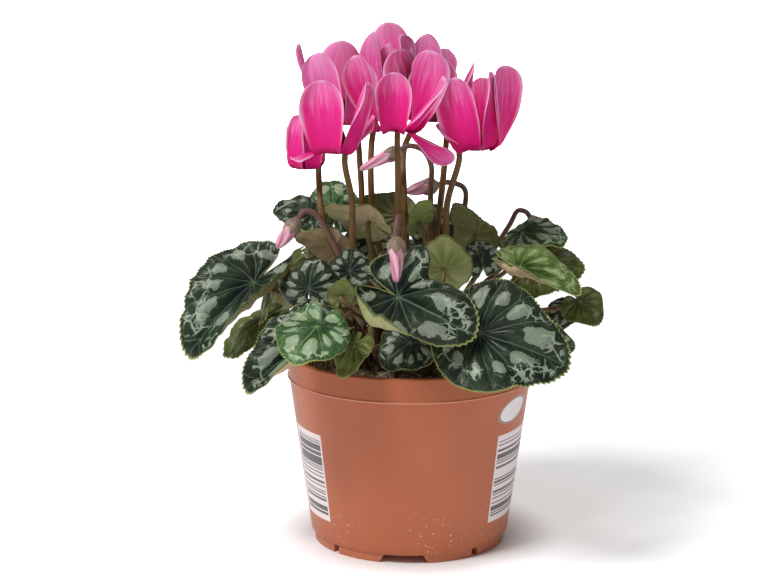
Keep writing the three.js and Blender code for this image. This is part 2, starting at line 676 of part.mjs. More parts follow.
// Each flower by the middle of its mouth, the way it faces, the points its scape passes and its petals;
// a petal's azimuth is 0 where the flower faces, and the scape comes up behind, at 180
const FLOWERS = [
  {
    name: 'far_left', mouth: [-50, -4, 186], facing: -125, lean: 0, ring: 'inner',
    via: [[-40, -6, 151], [-43, -6, 165]],
    petals: [
      { azimuth: 0, length: 27, width: 12, lean: 2, curl: -14, twist: 10 },
      { azimuth: 60, length: 25, width: 11, lean: 2, curl: -14, twist: 10 },
      { azimuth: 122, length: 26, width: 11, lean: 2, curl: -14, twist: 10 },
      { azimuth: -122, length: 26, width: 11, lean: 2, curl: -14, twist: 10 },
      { azimuth: -60, length: 24, width: 11, lean: 2, curl: -14, twist: 10 },
    ],
  },
  {
    name: 'left', mouth: [-37, -32, 197], facing: -130, lean: 5, ring: 'inner',
    via: [[-27, -12, 146], [-28, -16, 171]],
    petals: [
      { azimuth: 26, length: 36, width: 21, lean: 9, sway: 6, twist: 0 },
      { azimuth: 88, length: 37, width: 15, lean: 15, sway: -8, twist: -30 },
      { azimuth: 142, length: 23, width: 12, lean: 38, twist: 10 },
      { azimuth: -98, length: 32, width: 16, lean: 17, twist: 0 },
      { azimuth: -52, length: 15, width: 9, lean: 112, twist: 0 },
    ],
  },
  {
    name: 'left_high', mouth: [-33, 14, 205], facing: -145, lean: 3, ring: 'inner',
    via: [[-23, 18, 158], [-24, 22, 173]],
    petals: [
      { azimuth: 33, length: 38, width: 19, lean: 10, sway: 16, twist: 0 },
      { azimuth: 96, length: 33, width: 17, lean: 10, twist: 20 },
      { azimuth: -115, length: 42, width: 22, lean: 6, twist: 0 },
      { azimuth: -40, length: 43, width: 10, lean: 24, twist: 0 },
      { azimuth: -76, length: 32, width: 12, lean: 10, twist: 0 },
    ],
  },
  {
    name: 'top', mouth: [-10, 30, 214], facing: -45, lean: 5, ring: 'core',
    via: [[-18, 10, 160], [-19, 12, 192]],
    petals: [
      { azimuth: -85, length: 37, width: 15, lean: 4, twist: 10 },
      { azimuth: 125, length: 41, width: 20, lean: 2, twist: 0 },
      { azimuth: -35, length: 30, width: 12, lean: 3, twist: 50 },
      { azimuth: 25, length: 34, width: 14, lean: 4, twist: 20 },
      { azimuth: 75, length: 34, width: 14, lean: 4, twist: 0 },
    ],
  },
  {
    name: 'top_right', mouth: [10, 46, 212], facing: -60, lean: 5, ring: 'inner',
    via: [[-2, 4, 151], [-3, 8, 172], [-3, 20, 190]],
    petals: [
      { azimuth: -30, length: 36, width: 15, lean: 4, twist: 10 },
      { azimuth: 34, length: 28, width: 14, lean: 6, twist: 20 },
      { azimuth: 90, length: 28, width: 11, lean: 12, twist: 30 },
      { azimuth: 136, length: 30, width: 13, lean: 6, twist: 0 },
      { azimuth: -100, length: 32, width: 15, lean: 4, twist: 0 },
    ],
  },
  {
    name: 'centre', mouth: [-8, -22, 206], facing: -100, lean: 5, ring: 'core',
    via: [[-6, -8, 153], [-6, -11, 178]],
    petals: [
      { azimuth: 8, length: 29, width: 17, lean: 9, cup: 0.5, twist: 0 },
      { azimuth: -58, length: 39, width: 17, lean: 20, sway: 4, twist: -45 },
      { azimuth: 115, length: 41, width: 23, lean: 15, sway: 2, twist: -50 },
      { azimuth: 52, length: 39, width: 13, lean: 50, curl: -10, twist: -50 },
      { azimuth: 98, length: 28, width: 12, lean: 124, curl: 0, twist: 65 },
    ],
  },
  {
    name: 'right_shaded', mouth: [10, 10, 207], facing: -150, lean: 3, ring: 'core',
    via: [[14, 2, 161], [16, 3, 179]],
    petals: [
      { azimuth: 70, length: 33, width: 19, lean: 8, twist: 0 },
      { azimuth: -40, length: 37, width: 18, lean: 18, twist: 75 },
      { azimuth: 136, length: 34, width: 12, lean: 25, twist: 0 },
      { azimuth: -125, length: 33, width: 15, lean: 6, twist: 0 },
      { azimuth: 2, length: 28, width: 12, lean: 2, twist: 0 },
    ],
  },
  {
    name: 'right', mouth: [32, -12, 196], facing: -20, lean: 3, ring: 'inner',
    via: [[17, -4, 152], [18, -5, 169]],
    petals: [
      { azimuth: -100, length: 38, width: 22, lean: 12, sway: 6, twist: 0 },
      { azimuth: -42, length: 40, width: 12, lean: 10, twist: -50 },
      { azimuth: 16, length: 42, width: 21, lean: 11, twist: 60 },
      { azimuth: 90, length: 35, width: 18, lean: 8, twist: 0 },
      { azimuth: -146, length: 20, width: 9, lean: 48, twist: 0 },
    ],
  },
];

// Buds

// A bud: a hooked stalk, a calyx and the furled petals, all one body
function budSolid(bud, foot) {
  const points = bud.path.map(vector);
  const last = points[points.length - 1];
  const before = points[points.length - 2];
  const direction = last.clone().sub(before).normalize();
  const { calyx, length } = bud;
  const { collarRadius, collarDepth, sepalBelly, sepalLength } = BUD;
  const furled = length - sepalLength;
  const profile = [
    [0, -collarDepth],
    [collarRadius, -collarDepth / 2],
    [calyx, sepalBelly],
    [calyx * 0.95, sepalLength * 0.75],
    [calyx * 0.8, sepalLength],
    [calyx * 0.72, sepalLength + furled * 0.35],
    [calyx * 0.35, sepalLength + furled * 0.85],
    [0, length],
  ];
  const body = placed(turned(profile, BUD.sides), direction, last);
  const stalk = tube([foot, aboveHole(foot), ...points], bud.stalk, 5, 2 * points.length + 2);
  return stalk.add(body);
}

// Each bud by the route of its stalk above the tuber, and its size
const BUDS = [
  {
    name: 'left', calyx: 4.2, length: 17, stalk: 1.6, ring: 'inner',
    path: [[-32, -15, 140], [-41, -15, 158], [-46, -16, 165], [-51, -17, 166], [-54, -18, 162]],
  },
  {
    name: 'centre', calyx: 4.4, length: 21, stalk: 1.5, ring: 'inner',
    path: [[-6, -44, 159], [-6, -50, 169], [-7, -54, 165], [-7, -55, 160]],
  },
  {
    name: 'arched', calyx: 3.8, length: 22, stalk: 1.5, ring: 'inner',
    path: [[10, 6, 172], [10, 2, 186], [6, 2, 193], [-1, 2, 195], [-5, 2, 193]],
  },
  {
    name: 'dark', calyx: 4.4, length: 17, stalk: 1.5, ring: 'middle',
    path: [[28, 42, 158], [27, 33, 170], [19, 30, 173], [14, 29, 172]],
  },
  {
    name: 'right', calyx: 3.6, length: 12, stalk: 1.4, ring: 'middle',
    path: [[51, 40, 150], [55, 40, 157], [59, 39, 156.5], [61, 38.5, 154]],
  },
];

// The rule that gives each stalk its hole: a ring's stalks take even places, in order round the crown
function placeRoots(stalks) {
  for (const [ring, radius] of Object.entries(CROWN_RINGS)) {
    const members = stalks.filter((stalk) => stalk.ring === ring);
    members.sort((a, b) => a.heading - b.heading);
    const pitch = (2 * Math.PI) / members.length;
    let offset = 0;
    members.forEach((stalk, i) => {
      offset += (stalk.heading - i * pitch) / members.length;
    });
    members.forEach((stalk, i) => {
      const angle = offset + i * pitch;
      const height = TUBER.top - HOLE.depth - (radius / TUBER.radius) ** 2 * 5;
      stalk.foot = new THREE.Vector3(radius * Math.cos(angle), radius * Math.sin(angle), height);
    });
  }
}

const headingOf = ([x, y]) => Math.atan2(y, x);

function build() {
  const group = new THREE.Group();
  const leaves = LEAVES.map((row) => ({ ...LEAF_DEFAULTS, ...row }));
  const stalks = [
    ...leaves.map((leaf) => ({
      ring: leaf.ring,
      heading: headingOf(leaf.at),
      radius: LEAF.petioleRadius,
      build: (foot) => meshOf(leaf.name, leafSolid(leaf, foot), COLOURS[leaf.colour], 0.4),
    })),
    ...FLOWERS.map((flower) => ({
      ring: flower.ring,
      heading: headingOf(flower.mouth),
      radius: SCAPE.radius,
      build: (foot) => meshOf(`scape_${flower.name}`, scapeSolid(flower, foot), COLOURS.scape, 0.5),
    })),
    ...BUDS.map((bud) => ({
      ring: bud.ring,
      heading: headingOf(bud.path[0]),
      radius: bud.stalk,
      build: (foot) => meshOf(`bud_${bud.name}`, budSolid(bud, foot), COLOURS.bud, 0.5),
    })),
  ];
  placeRoots(stalks);
  group.add(meshOf('pot', potSolid(), COLOURS.pot, 0.5));
  group.add(meshOf('soil', soilSolid(), COLOURS.soil, 0.95));
  group.add(meshOf('tuber', tuberSolid(stalks), COLOURS.tuber, 0.9));
  for (const stalk of stalks) group.add(stalk.build(stalk.foot));
  for (const flower of FLOWERS) {
    group.add(meshOf(`bloom_${flower.name}`, bloomSolid(flower), COLOURS.petal, 0.5));
  }
  return group;
}

export default build();
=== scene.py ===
import math

import bmesh
import bpy
import numpy as np
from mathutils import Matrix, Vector


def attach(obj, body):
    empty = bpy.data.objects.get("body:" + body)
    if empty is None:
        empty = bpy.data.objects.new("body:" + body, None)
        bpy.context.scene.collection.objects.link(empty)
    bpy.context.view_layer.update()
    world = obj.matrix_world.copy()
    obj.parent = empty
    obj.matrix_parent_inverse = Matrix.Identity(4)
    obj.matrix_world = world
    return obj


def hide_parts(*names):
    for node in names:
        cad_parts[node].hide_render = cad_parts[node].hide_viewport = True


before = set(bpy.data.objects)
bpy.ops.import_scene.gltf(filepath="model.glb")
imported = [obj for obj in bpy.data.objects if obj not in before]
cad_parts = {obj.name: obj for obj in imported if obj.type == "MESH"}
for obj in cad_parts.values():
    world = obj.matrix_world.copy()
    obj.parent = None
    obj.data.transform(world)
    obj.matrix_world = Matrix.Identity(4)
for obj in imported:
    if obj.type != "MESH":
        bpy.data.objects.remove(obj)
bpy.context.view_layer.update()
scene = bpy.context.scene
mm = 0.001  # sizes are in millimetres until a mesh is made
fullTurn = 2 * math.pi
sharpFrom = math.radians(50)  # edges that bend more than this stay sharp

# A potted cyclamen: the front faces -Y and the middle of the pot's foot is the origin

cameraSettings = {"place": (-0.01176, -0.9821, 0.3250), "downTilt": 11.54, "lens": 95.44}
roomSettings = {
    "sky": 0.16, "floorSize": 14.0, "floorShades": ((251.6, 251.6, 251.6), (249.4, 249.4, 251.6)),
    "floorGlow": 0.4, "glowFrom": (0.045, 0.08),
}
lampSettings = [
    {"name": "keyLight", "place": (-1.1, -0.9, 2.0), "aim": (0, 0, 0.14), "size": 0.8, "power": 50.0},
    {"name": "fillLight", "place": (1.5, -1.6, 0.8), "aim": (0, 0, 0.14), "size": 1.2, "power": 1.8},
    {"name": "backLight", "place": (0.6, 1.4, 1.6), "aim": (0, 0, 0.14), "size": 0.8, "power": 6.0},
    {"name": "floorWash", "place": (0.0, 2.0, 2.4), "aim": (0, 6.5, 0), "size": 2.0, "power": 520.0},
]


def put(name, data):
    item = bpy.data.objects.new(name, data)
    scene.collection.objects.link(item)
    return item


def makeCamera():
    data = bpy.data.cameras.new("camera")
    data.lens = cameraSettings["lens"]
    camera = put("camera", data)
    camera.location = cameraSettings["place"]
    camera.rotation_euler = (math.radians(90 - cameraSettings["downTilt"]), 0, 0)
    scene.camera = camera


def makeLamp(name, place, aim, size, power):
    data = bpy.data.lights.new(name, "AREA")
    data.size = size
    data.energy = power
    lamp = put(name, data)
    lamp.location = place
    lamp.rotation_euler = (Vector(place) - Vector(aim)).to_track_quat("Z", "Y").to_euler()


makeCamera()
for settings in lampSettings:
    makeLamp(**settings)
scene.world = bpy.data.worlds.new("studio")
scene.world.use_nodes = True
sky = scene.world.node_tree.nodes["Background"]
sky.inputs["Color"].default_value = (1, 1, 1, 1)
sky.inputs["Strength"].default_value = roomSettings["sky"]
scene.view_settings.view_transform = "Standard"
print("stage 1: camera and lights")


# Nodes shared by the materials and the geometry trees

def paint(shade):
    # a screen colour from 0 to 255 as the shader's linear colour
    shares = [value / 255 for value in shade]
    return tuple(s / 12.92 if s <= 0.04 else ((s + 0.055) / 1.055) ** 2.4 for s in shares) + (1.0,)


def addNode(tree, kind, values=None, **settings):
    # a value is the output of another node or what the socket holds, with every colour a screen colour
    node = tree.nodes.new(kind)
    for key, value in settings.items():
        setattr(node, key, value)
    for key, value in (values or {}).items():
        socket = node.inputs[key]
        if isinstance(value, Value):
            value = value.socket
        if isinstance(value, bpy.types.NodeSocket):
            tree.links.new(value, socket)
        else:
            socket.default_value = paint(value) if socket.type == "RGBA" else value
    return node


class Value:
    # an output in a material; what is reckoned with it becomes nodes too

    def __init__(self, finish, socket):
        self.finish = finish
        self.socket = socket

    def math(self, operation, *others):
        return self.finish.take("ShaderNodeMath", dict(enumerate((self, *others))), operation=operation)

    def __add__(self, other):
        return self.math("ADD", other)

    def __sub__(self, other):
        return self.math("SUBTRACT", other)

    def __mul__(self, other):
        return self.math("MULTIPLY", other)

    def __truediv__(self, other):
        return self.math("DIVIDE", other)

    def __abs__(self):
        return self.math("ABSOLUTE")

    def scaled(self, factor, shift):
        # times a factor and then moved by a shift
        return self.math("MULTIPLY_ADD", factor, shift)

    def ease(self, low, high):
        # 0 up to low and 1 from high on, or the other way round where low is the higher
        values = {"Value": self, "From Min": low, "From Max": high}
        return self.finish.take("ShaderNodeMapRange", values, interpolation_type="SMOOTHSTEP")

    def within(self, low, high, soft):
        return self.ease(low - soft, low + soft) * self.ease(high + soft, high - soft)


class Finish:
    # one material in the making

    def __init__(self, name):
        self.material = bpy.data.materials.new(name)
        self.material.use_nodes = True
        self.tree = self.material.node_tree
        self.tree.nodes.clear()
        self.place = self.take("ShaderNodeTexCoord", output="Object")

    def take(self, kind, values=None, output=0, **settings):
        return Value(self, addNode(self.tree, kind, values, **settings).outputs[output])

    def chart(self):
        return self.take("ShaderNodeUVMap", uv_map="chart")

    def split(self, vector):
        node = addNode(self.tree, "ShaderNodeSeparateXYZ", {0: vector})
        return [Value(self, socket) for socket in node.outputs]

    def noise(self, scale, detail=3.0, where=None, roughness=0.5):
        values = {"Vector": where or self.place, "Scale": scale, "Detail": detail, "Roughness": roughness}
        return self.take("ShaderNodeTexNoise", values)

    def streaks(self, vector, scale, detail=4.0, roughness=0.5):
        # noise of another scale along each axis
        where = self.take("ShaderNodeMapping", {"Vector": vector, "Scale": scale})
        return self.noise(1.0, detail, where, roughness)

    def cells(self, scale, where=None, feature="F1"):
        values = {"Vector": where or self.place, "Scale": scale}
        return self.take("ShaderNodeTexVoronoi", values, "Distance", feature=feature)

    def mix(self, share, first, second):
        return self.take("ShaderNodeMix", {0: share, 6: first, 7: second}, 2, data_type="RGBA")

    def over(self, colour, *layers):
        # lays each layer's shade over a colour where its mask is up, at most by its share
        for mask, share, shade in layers:
            colour = self.mix(mask * share, colour, shade)
        return colour

    def ramp(self, value, stops):
        node = addNode(self.tree, "ShaderNodeValToRGB", {0: value})
        for place, shade in stops[1:-1]:
            node.color_ramp.elements.new(place)
        for element, (place, shade) in zip(node.color_ramp.elements, stops):
            element.position = place
            element.color = paint(shade)
        return Value(self, node.outputs[0])

    def close(self, colour, roughness, height=None, depth=0.0003, strength=0.5, **sockets):
        values = {"Base Color": colour, "Roughness": roughness}
        values.update({name.replace("_", " "): value for name, value in sockets.items()})
        if height is not None:
            bump = {"Strength": strength, "Distance": depth, "Height": height}
            values["Normal"] = self.take("ShaderNodeBump", bump)
        shader = self.take("ShaderNodeBsdfPrincipled", values)
        addNode(self.tree, "ShaderNodeOutputMaterial", {"Surface": shader})
        return self.material


# Meshes

def newMesh(name, points, edges=(), faces=()):
    mesh = bpy.data.meshes.new(name)
    mesh.from_pydata(points, edges, faces)
    return mesh


def newLine(name, points):
    return newMesh(name, points, [(i, i + 1) for i in range(len(points) - 1)])


def makePiece(name, mesh, materials, slot, *nodes):
    slots = np.zeros(len(mesh.polygons), np.int32)
    mesh.polygons.foreach_get("material_index", slots)
    mesh.materials.clear()
    for material in materials:
        mesh.materials.append(material)
    mesh.polygons.foreach_set("material_index", np.minimum(slots, len(materials) - 1))
    mesh.polygons.foreach_set("use_smooth", np.ones(len(mesh.polygons), bool))
    mesh.set_sharp_from_angle(angle=sharpFrom)
    piece = put(name, mesh)
    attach(piece, "root")
    if nodes:
        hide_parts(*nodes)
    return piece


def makeNode(node, mesh, materials, slot):
    # leaf_left_large becomes leafLeftLarge
    first, *others = node.split("_")
    makePiece(first + "".join(word.capitalize() for word in others), mesh, materials, slot, node)


def strips(here):
    # the corners of the faces between neighbouring rings of point numbers
    beside = np.roll(here, -1, axis=1)
    return np.stack([here[:-1], beside[:-1], beside[1:], here[1:]], -1).reshape(-1, 4).tolist()


def ringMesh(rings, charts=None, bands=None):
    # A closed surface through rings of points, whose first and last rings are single points.
    # charts has one more column than rings, so that a pattern closes where the ring does.
    start, end = rings[0][0], rings[-1][0]
    if charts is None:
        charts = np.zeros((len(rings), len(rings[0]) + 1, 2))
    rings = np.array(rings[1:-1], float)
    count, sides = rings.shape[:2]
    points = np.vstack([[start], rings.reshape(-1, 3), [end]]) * mm
    here = 1 + np.arange(count * sides).reshape(count, sides)
    beside = np.roll(here, -1, axis=1)
    pole, last = np.zeros(sides, int), np.full(sides, len(points) - 1)
    faces = np.stack([pole, beside[0], here[0]], -1).tolist() + strips(here)
    faces += np.stack([here[-1], beside[-1], last], -1).tolist()
    middle = (charts[:, :-1] + charts[:, 1:]) / 2
    low, high = charts[1:-2], charts[2:-1]
    loops = [
        np.stack([middle[0], charts[1, 1:], charts[1, :-1]], 1).reshape(-1, 2),
        np.stack([low[:, :-1], low[:, 1:], high[:, 1:], high[:, :-1]], 2).reshape(-1, 2),
        np.stack([charts[-2, :-1], charts[-2, 1:], middle[-1]], 1).reshape(-1, 2),
    ]
    mesh = newMesh("form", points.tolist(), faces=faces)
    mesh.uv_layers.new(name="chart").data.foreach_set("uv", np.vstack(loops).ravel())
    if bands is not None:
        mesh.polygons.foreach_set("material_index", np.repeat(bands, sides).astype(np.int32))
    return mesh


def settled(form, mesh):
    form.to_mesh(mesh)
    form.free()
    return mesh


def joined(meshes, slots=None):
    # several meshes as one, each with all its faces in the material slot named for it, if any
    whole = bmesh.new()
    for i, mesh in enumerate(meshes):
        if slots and slots[i] is not None:
            mesh.polygons.foreach_set("material_index", np.full(len(mesh.polygons), slots[i], np.int32))
        whole.from_mesh(mesh)
    return settled(whole, bpy.data.meshes.new("joined"))


def outwards(mesh):
    form = bmesh.new()
    form.from_mesh(mesh)
    bmesh.ops.dissolve_degenerate(form, dist=1e-7, edges=form.edges)
    bmesh.ops.recalc_face_normals(form, faces=form.faces)
    return settled(form, mesh)


def finished(item, *others):
    # what an object's modifiers make of it, as a plain mesh
    result = bpy.data.meshes.new_from_object(item.evaluated_get(bpy.context.evaluated_depsgraph_get()))
    for old in (item, *others):
        bpy.data.objects.remove(old)
    return result


def cut(mesh, other):
    base, tool = put("base", mesh), put("tool", other)
    modifier = base.modifiers.new("cut", "BOOLEAN")
    modifier.object = tool
    modifier.operation = "DIFFERENCE"
    modifier.solver = "EXACT"
    return finished(base, tool)


def grown(mesh, tree, values):
    holder = put("holder", mesh)
    modifier = holder.modifiers.new("nodes", "NODES")
    modifier.node_group = tree
    for item in tree.interface.items_tree:
        if item.item_type == "SOCKET" and item.in_out == "INPUT" and item.name in values:
            modifier[item.identifier] = values[item.name]
    return finished(holder)


def makeTree(name, inputs, build):
    # a geometry tree with named inputs, which ends in real faces of the given material
    tree = bpy.data.node_groups.new(name, "GeometryNodeTree")
    for label, kind in {"Geometry": "Geometry", **inputs, "Material": "Material"}.items():
        tree.interface.new_socket(label, in_out="INPUT", socket_type="NodeSocket" + kind)
    tree.interface.new_socket("Geometry", in_out="OUTPUT", socket_type="NodeSocketGeometry")
    given = addNode(tree, "NodeGroupInput").outputs

    def take(kind, values=None, output=0, **settings):
        return addNode(tree, kind, values, **settings).outputs[output]

    real = take("GeometryNodeRealizeInstances", {0: build(take, given)})
    painted = take("GeometryNodeSetMaterial", {"Geometry": real, "Material": given["Material"]})
    addNode(tree, "NodeGroupOutput", {0: painted})
    return tree


def cross(first, second):
    return np.cross(np.asarray(first, float), np.asarray(second, float))


def unit(vector):
    vector = np.asarray(vector, float)
    return vector / np.linalg.norm(vector)


# A place is its origin, axis and front; this one is the pot's own
upright = ((0, 0, 0), (0, 0, 1), (1, 0, 0))


def turnsOf(sides):
    return np.linspace(0, fullTurn, sides, endpoint=False)


def ring(place, radius, height, turns):
    origin, axis, front = place
    x, y = radius * np.cos(turns), radius * np.sin(turns)
    return origin + np.outer(x, front) + np.outer(y, cross(axis, front)) + np.outer(height + 0 * turns, axis)


# Floor

def makeFloor():
    # a white sweep that glows a little, like a light table, except close to the pot
    finish = Finish("floorPaint")
    colour = finish.mix(finish.noise(6.0), *roomSettings["floorShades"])
    away = finish.take("ShaderNodeVectorMath", {0: finish.place}, "Value", operation="LENGTH")
    glow = finish.mix(away.ease(*roomSettings["glowFrom"]), (0, 0, 0), (255, 255, 255))
    half = roomSettings["floorSize"] / 2
    corners = [(-half, -half, 0), (half, -half, 0), (half, half, 0), (-half, half, 0)]
    mesh = newMesh("floor", corners, faces=[(0, 1, 2, 3)])
    mesh.materials.append(finish.close(
        colour, 0.8, Emission_Color=glow, Emission_Strength=roomSettings["floorGlow"]))
    floor = put("floor", mesh)


makeFloor()


# Stalks: a tree sweeps a tapering round section along a path

def sweep(take, given):
    along = take("GeometryNodeSplineParameter")
    noise = take("ShaderNodeTexNoise", {"Scale": 90.0, "Detail": 2.0})
    uneven = take("ShaderNodeMapRange", {"Value": noise, "To Min": -1.0, "To Max": 1.0})
    uneven = take("ShaderNodeMath", {0: uneven, 1: given["Unevenness"]}, operation="MULTIPLY")
    taper = take("ShaderNodeMapRange", {
        "Value": along, "To Min": given["Foot radius"], "To Max": given["Top radius"]})
    radius = take("ShaderNodeMath", {0: taper, 1: uneven}, operation="ADD")
    curve = take("GeometryNodeMeshToCurve", {"Mesh": given["Geometry"]})
    noted = take("GeometryNodeStoreNamedAttribute", {
        "Geometry": curve, "Name": "alongStalk", "Value": along}, domain="POINT")
    section = take("GeometryNodeCurvePrimitiveCircle", {"Resolution": given["Sides"], "Radius": 1.0})
    return take("GeometryNodeCurveToMesh", {
        "Curve": noted, "Profile Curve": section, "Scale": radius, "Fill Caps": True})


stalkTree = makeTree("sweptStalk", {
    "Foot radius": "Float", "Top radius": "Float", "Sides": "Int", "Unevenness": "Float"}, sweep)
stalkSettings = {
    "tuberTop": 94.0, "tuberRadius": 27.0, "tuberFall": 5, "holeDepth": 4.5, "scape": (1.75, 1.45),
    "unevenness": 0.05,
}


def smoothPath(points, steps):
    # a centripetal curve through points, the same as the part's own stalks follow
    points = np.array(points, float)
    points = np.vstack([2 * points[0] - points[1], points, 2 * points[-1] - points[-2]])
    path = []
    for i in range(1, len(points) - 2):
        corners = points[i - 1:i + 3]
        knots = np.cumsum([0, *np.linalg.norm(np.diff(corners, axis=0), axis=1) ** 0.5])
        for t in np.linspace(knots[1], knots[2], steps, endpoint=False):
            row = corners
            for spans in (((0, 1), (1, 2), (2, 3)), ((0, 2), (1, 3)), ((1, 2),)):
                row = [((knots[b] - t) * row[k] + (t - knots[a]) * row[k + 1]) / (knots[b] - knots[a])
                       for k, (a, b) in enumerate(spans)]
            path.append(row[0])
    path.append(points[-2])
    return path


def stalkMesh(points, footRadius, topRadius, material, sides, steps):
    path = [tuple(point * mm) for point in smoothPath(points, steps)]
    return grown(newLine("path", path), stalkTree, {
        "Foot radius": footRadius * mm, "Top radius": topRadius * mm, "Sides": sides,
        "Unevenness": stalkSettings["unevenness"] * mm, "Material": material})


# Finishes of the plant

leafLooks = {
    "dark": dict(
        green=(24, 38, 24), lit=(40, 54, 36), heart=(26, 38, 36), blotch=(150, 162, 143),
        line=(166, 178, 156), vein=(92, 112, 84), rim=(140, 148, 84), marked=1.0),
    "fresh": dict(
        green=(40, 72, 34), lit=(70, 104, 58), heart=(36, 66, 38), blotch=(166, 184, 148),
        line=(180, 196, 160), vein=(124, 156, 100), rim=(150, 160, 88), marked=0.95),
    "bright": dict(
        green=(62, 88, 36), lit=(96, 118, 58), heart=(56, 84, 40), blotch=(150, 166, 112),
        line=(170, 182, 130), vein=(160, 174, 110), rim=(170, 168, 98), marked=0.8),
    # olive is a blade with light shining through it from behind: painted back light in place of light passing
    # through the leaf
    "olive": dict(
        green=(58, 70, 30), lit=(92, 102, 46), heart=(52, 62, 30), blotch=(118, 128, 78),
        line=(130, 138, 86), vein=(116, 122, 66), rim=(142, 142, 76), marked=0.4),
}
underLooks = {
    "green": dict(body=(136, 146, 92), patch=(160, 156, 108), vein=(112, 118, 66)),
    # pale is green made brighter for undersides that turn down away from the lamps: painted light
    "pale": dict(body=(146, 158, 88), patch=(168, 172, 114), vein=(122, 130, 70)),
    "pink": dict(body=(206, 176, 150), patch=(178, 164, 120), vein=(164, 112, 98)),
    "beige": dict(body=(200, 198, 138), patch=(216, 196, 158), vein=(146, 132, 84)),
    "olive": dict(body=(86, 90, 48), patch=(140, 126, 88), vein=(80, 80, 44)),
}
underRim = (84, 98, 52)  # the green of the upper face shows along the rolled margin
veinPattern = {"foot": 0.03, "taper": -0.016, "wobble": 0.16, "forkSlant": -0.62, "forks": 4.3}
blotchPattern = {"middle": 0.87, "length": 0.17, "width": 0.3, "edge": 0.12, "push": (0.004, 0.004, 0.004)}


def veinLines(finish):
    # the chart counts veins across and runs from the petiole to the margin along
    s = veinPattern
    across, share, nothing = finish.split(finish.chart())
    wobble = finish.noise(110.0).scaled(s["wobble"], -s["wobble"] / 2)
    count = across.scaled(10.0, -5.0) + wobble * share
    fromVein = abs(count - count.math("ROUND"))
    main = (fromVein * share / share.scaled(s["taper"], s["foot"])).ease(1.3, 0.4)
    rise = fromVein.scaled(s["forkSlant"], share).scaled(s["forks"], finish.noise(70.0) * 0.5)
    fork = abs(rise.math("FRACT") - 0.5)
    return share, fromVein, main, fork.ease(0.075, 0.02) * share.ease(0.22, 0.4)


def leafUpper(name, look):
    s = blotchPattern
    finish = Finish(name)
    share, fromVein, main, forks = veinLines(finish)

    # blotches between the veins, smooth towards the petiole and ragged towards the margin
    outward = (share + finish.noise(58.0, 2.0).scaled(0.5, -s["middle"])) / s["length"]
    sideways = (finish.noise(83.0, 2.0).scaled(0.5, 0.25) - fromVein) / s["width"]
    ragged = finish.noise(460.0, 4.0).scaled(3.0, -1.5) * outward.ease(-0.9, 0.6)
    reach = outward.math("POWER", 2.0) + sideways.math("POWER", 2.0) + ragged
    spread = finish.noise(31.0).scaled(3.0, -0.7)
    blotch = reach.ease(spread + s["edge"], spread - s["edge"])
    blotch = blotch * (finish.noise(1500.0, 2.0).scaled(0.7, 0.3) * look["marked"])

    # thin forked silver lines between the blotches and the margin
    push = finish.take("ShaderNodeTexNoise", {"Vector": finish.place, "Scale": 300.0}, "Color")
    bent = finish.take("ShaderNodeVectorMath", {0: push, 1: s["push"], 2: finish.place},
                       operation="MULTIPLY_ADD")
    net = finish.cells(150.0, bent, "DISTANCE_TO_EDGE").ease(0.085, 0.03)
    band = share.ease(0.58, 0.68) * share.ease(0.96, 0.88)
    silver = net * band * (finish.noise(75.0, 1.0).ease(0.47, 0.53) * 0.75)
    dots = finish.cells(420.0).ease(0.13, 0.08) * share.ease(0.5, 0.7)

    colour = finish.mix(finish.noise(55.0).ease(0.38, 0.62), look["green"], look["lit"])
    colour = finish.mix(share.ease(0.42, 0.12), colour, look["heart"])
    colour = finish.mix(blotch, colour, look["blotch"])
    colour = finish.over(
        colour, (silver, look["marked"], look["line"]), (dots, 0.4, look["line"]),
        (forks, 0.3, look["vein"]), (main, 0.7, look["vein"]))
    colour = finish.mix(share.ease(0.968, 0.99), colour, look["rim"])
    height = forks.scaled(-0.5, main.scaled(-0.8, finish.noise(800.0, 4.0)))
    return finish.close(colour, blotch.scaled(0.1, 0.36), height, Specular_IOR_Level=0.28)


def leafUnder(name, look):
    finish = Finish(name)
    share, fromVein, main, forks = veinLines(finish)
    vein = look["vein"]
    colour = finish.mix(finish.noise(45.0).ease(0.35, 0.65), look["body"], look["patch"])
    speckle = finish.noise(300.0, 4.0)
    colour = finish.over(colour, (speckle, 0.3, vein), (forks, 0.2, vein), (main, 0.45, vein))
    colour = finish.mix(share.ease(0.93, 0.975), colour, underRim)
    height = forks.scaled(0.5, main.scaled(0.6, finish.noise(700.0, 4.0)))
    return finish.close(colour, 0.55, height, depth=0.0004)


def stalkSkin(name, *stops):
    finish = Finish(name)
    streaks = finish.streaks(finish.place, (1500.0, 1500.0, 90.0))
    colour = finish.ramp(finish.take("ShaderNodeAttribute", output="Fac", attribute_name="alongStalk"), stops)
    colour = finish.over(
        colour, (streaks.ease(0.45, 0.75), 1.0, (74, 52, 34)),
        (finish.noise(60.0).ease(0.45, 0.7), 0.25, (124, 72, 48)))
    return finish.close(colour, 0.46, streaks, depth=0.0002, strength=0.4, Specular_IOR_Level=0.3)


petalLooks = {
    "pink": [(112, 8, 52), (176, 10, 88), (216, 10, 118), (220, 40, 136), (224, 108, 170)],
    "pale": [(140, 12, 74), (200, 26, 112), (224, 50, 146), (226, 98, 170), (230, 148, 198)],
    "shaded": [(76, 8, 34), (114, 12, 44), (138, 16, 58), (174, 34, 96), (200, 80, 142)],
}
petalStops = (0.0, 0.06, 0.16, 0.62, 1.0)
petalEdge = (244, 190, 222)
bloomLooks = {"right_shaded": "shaded", "top": "pale", "top_right": "pale", "left_high": "pale"}


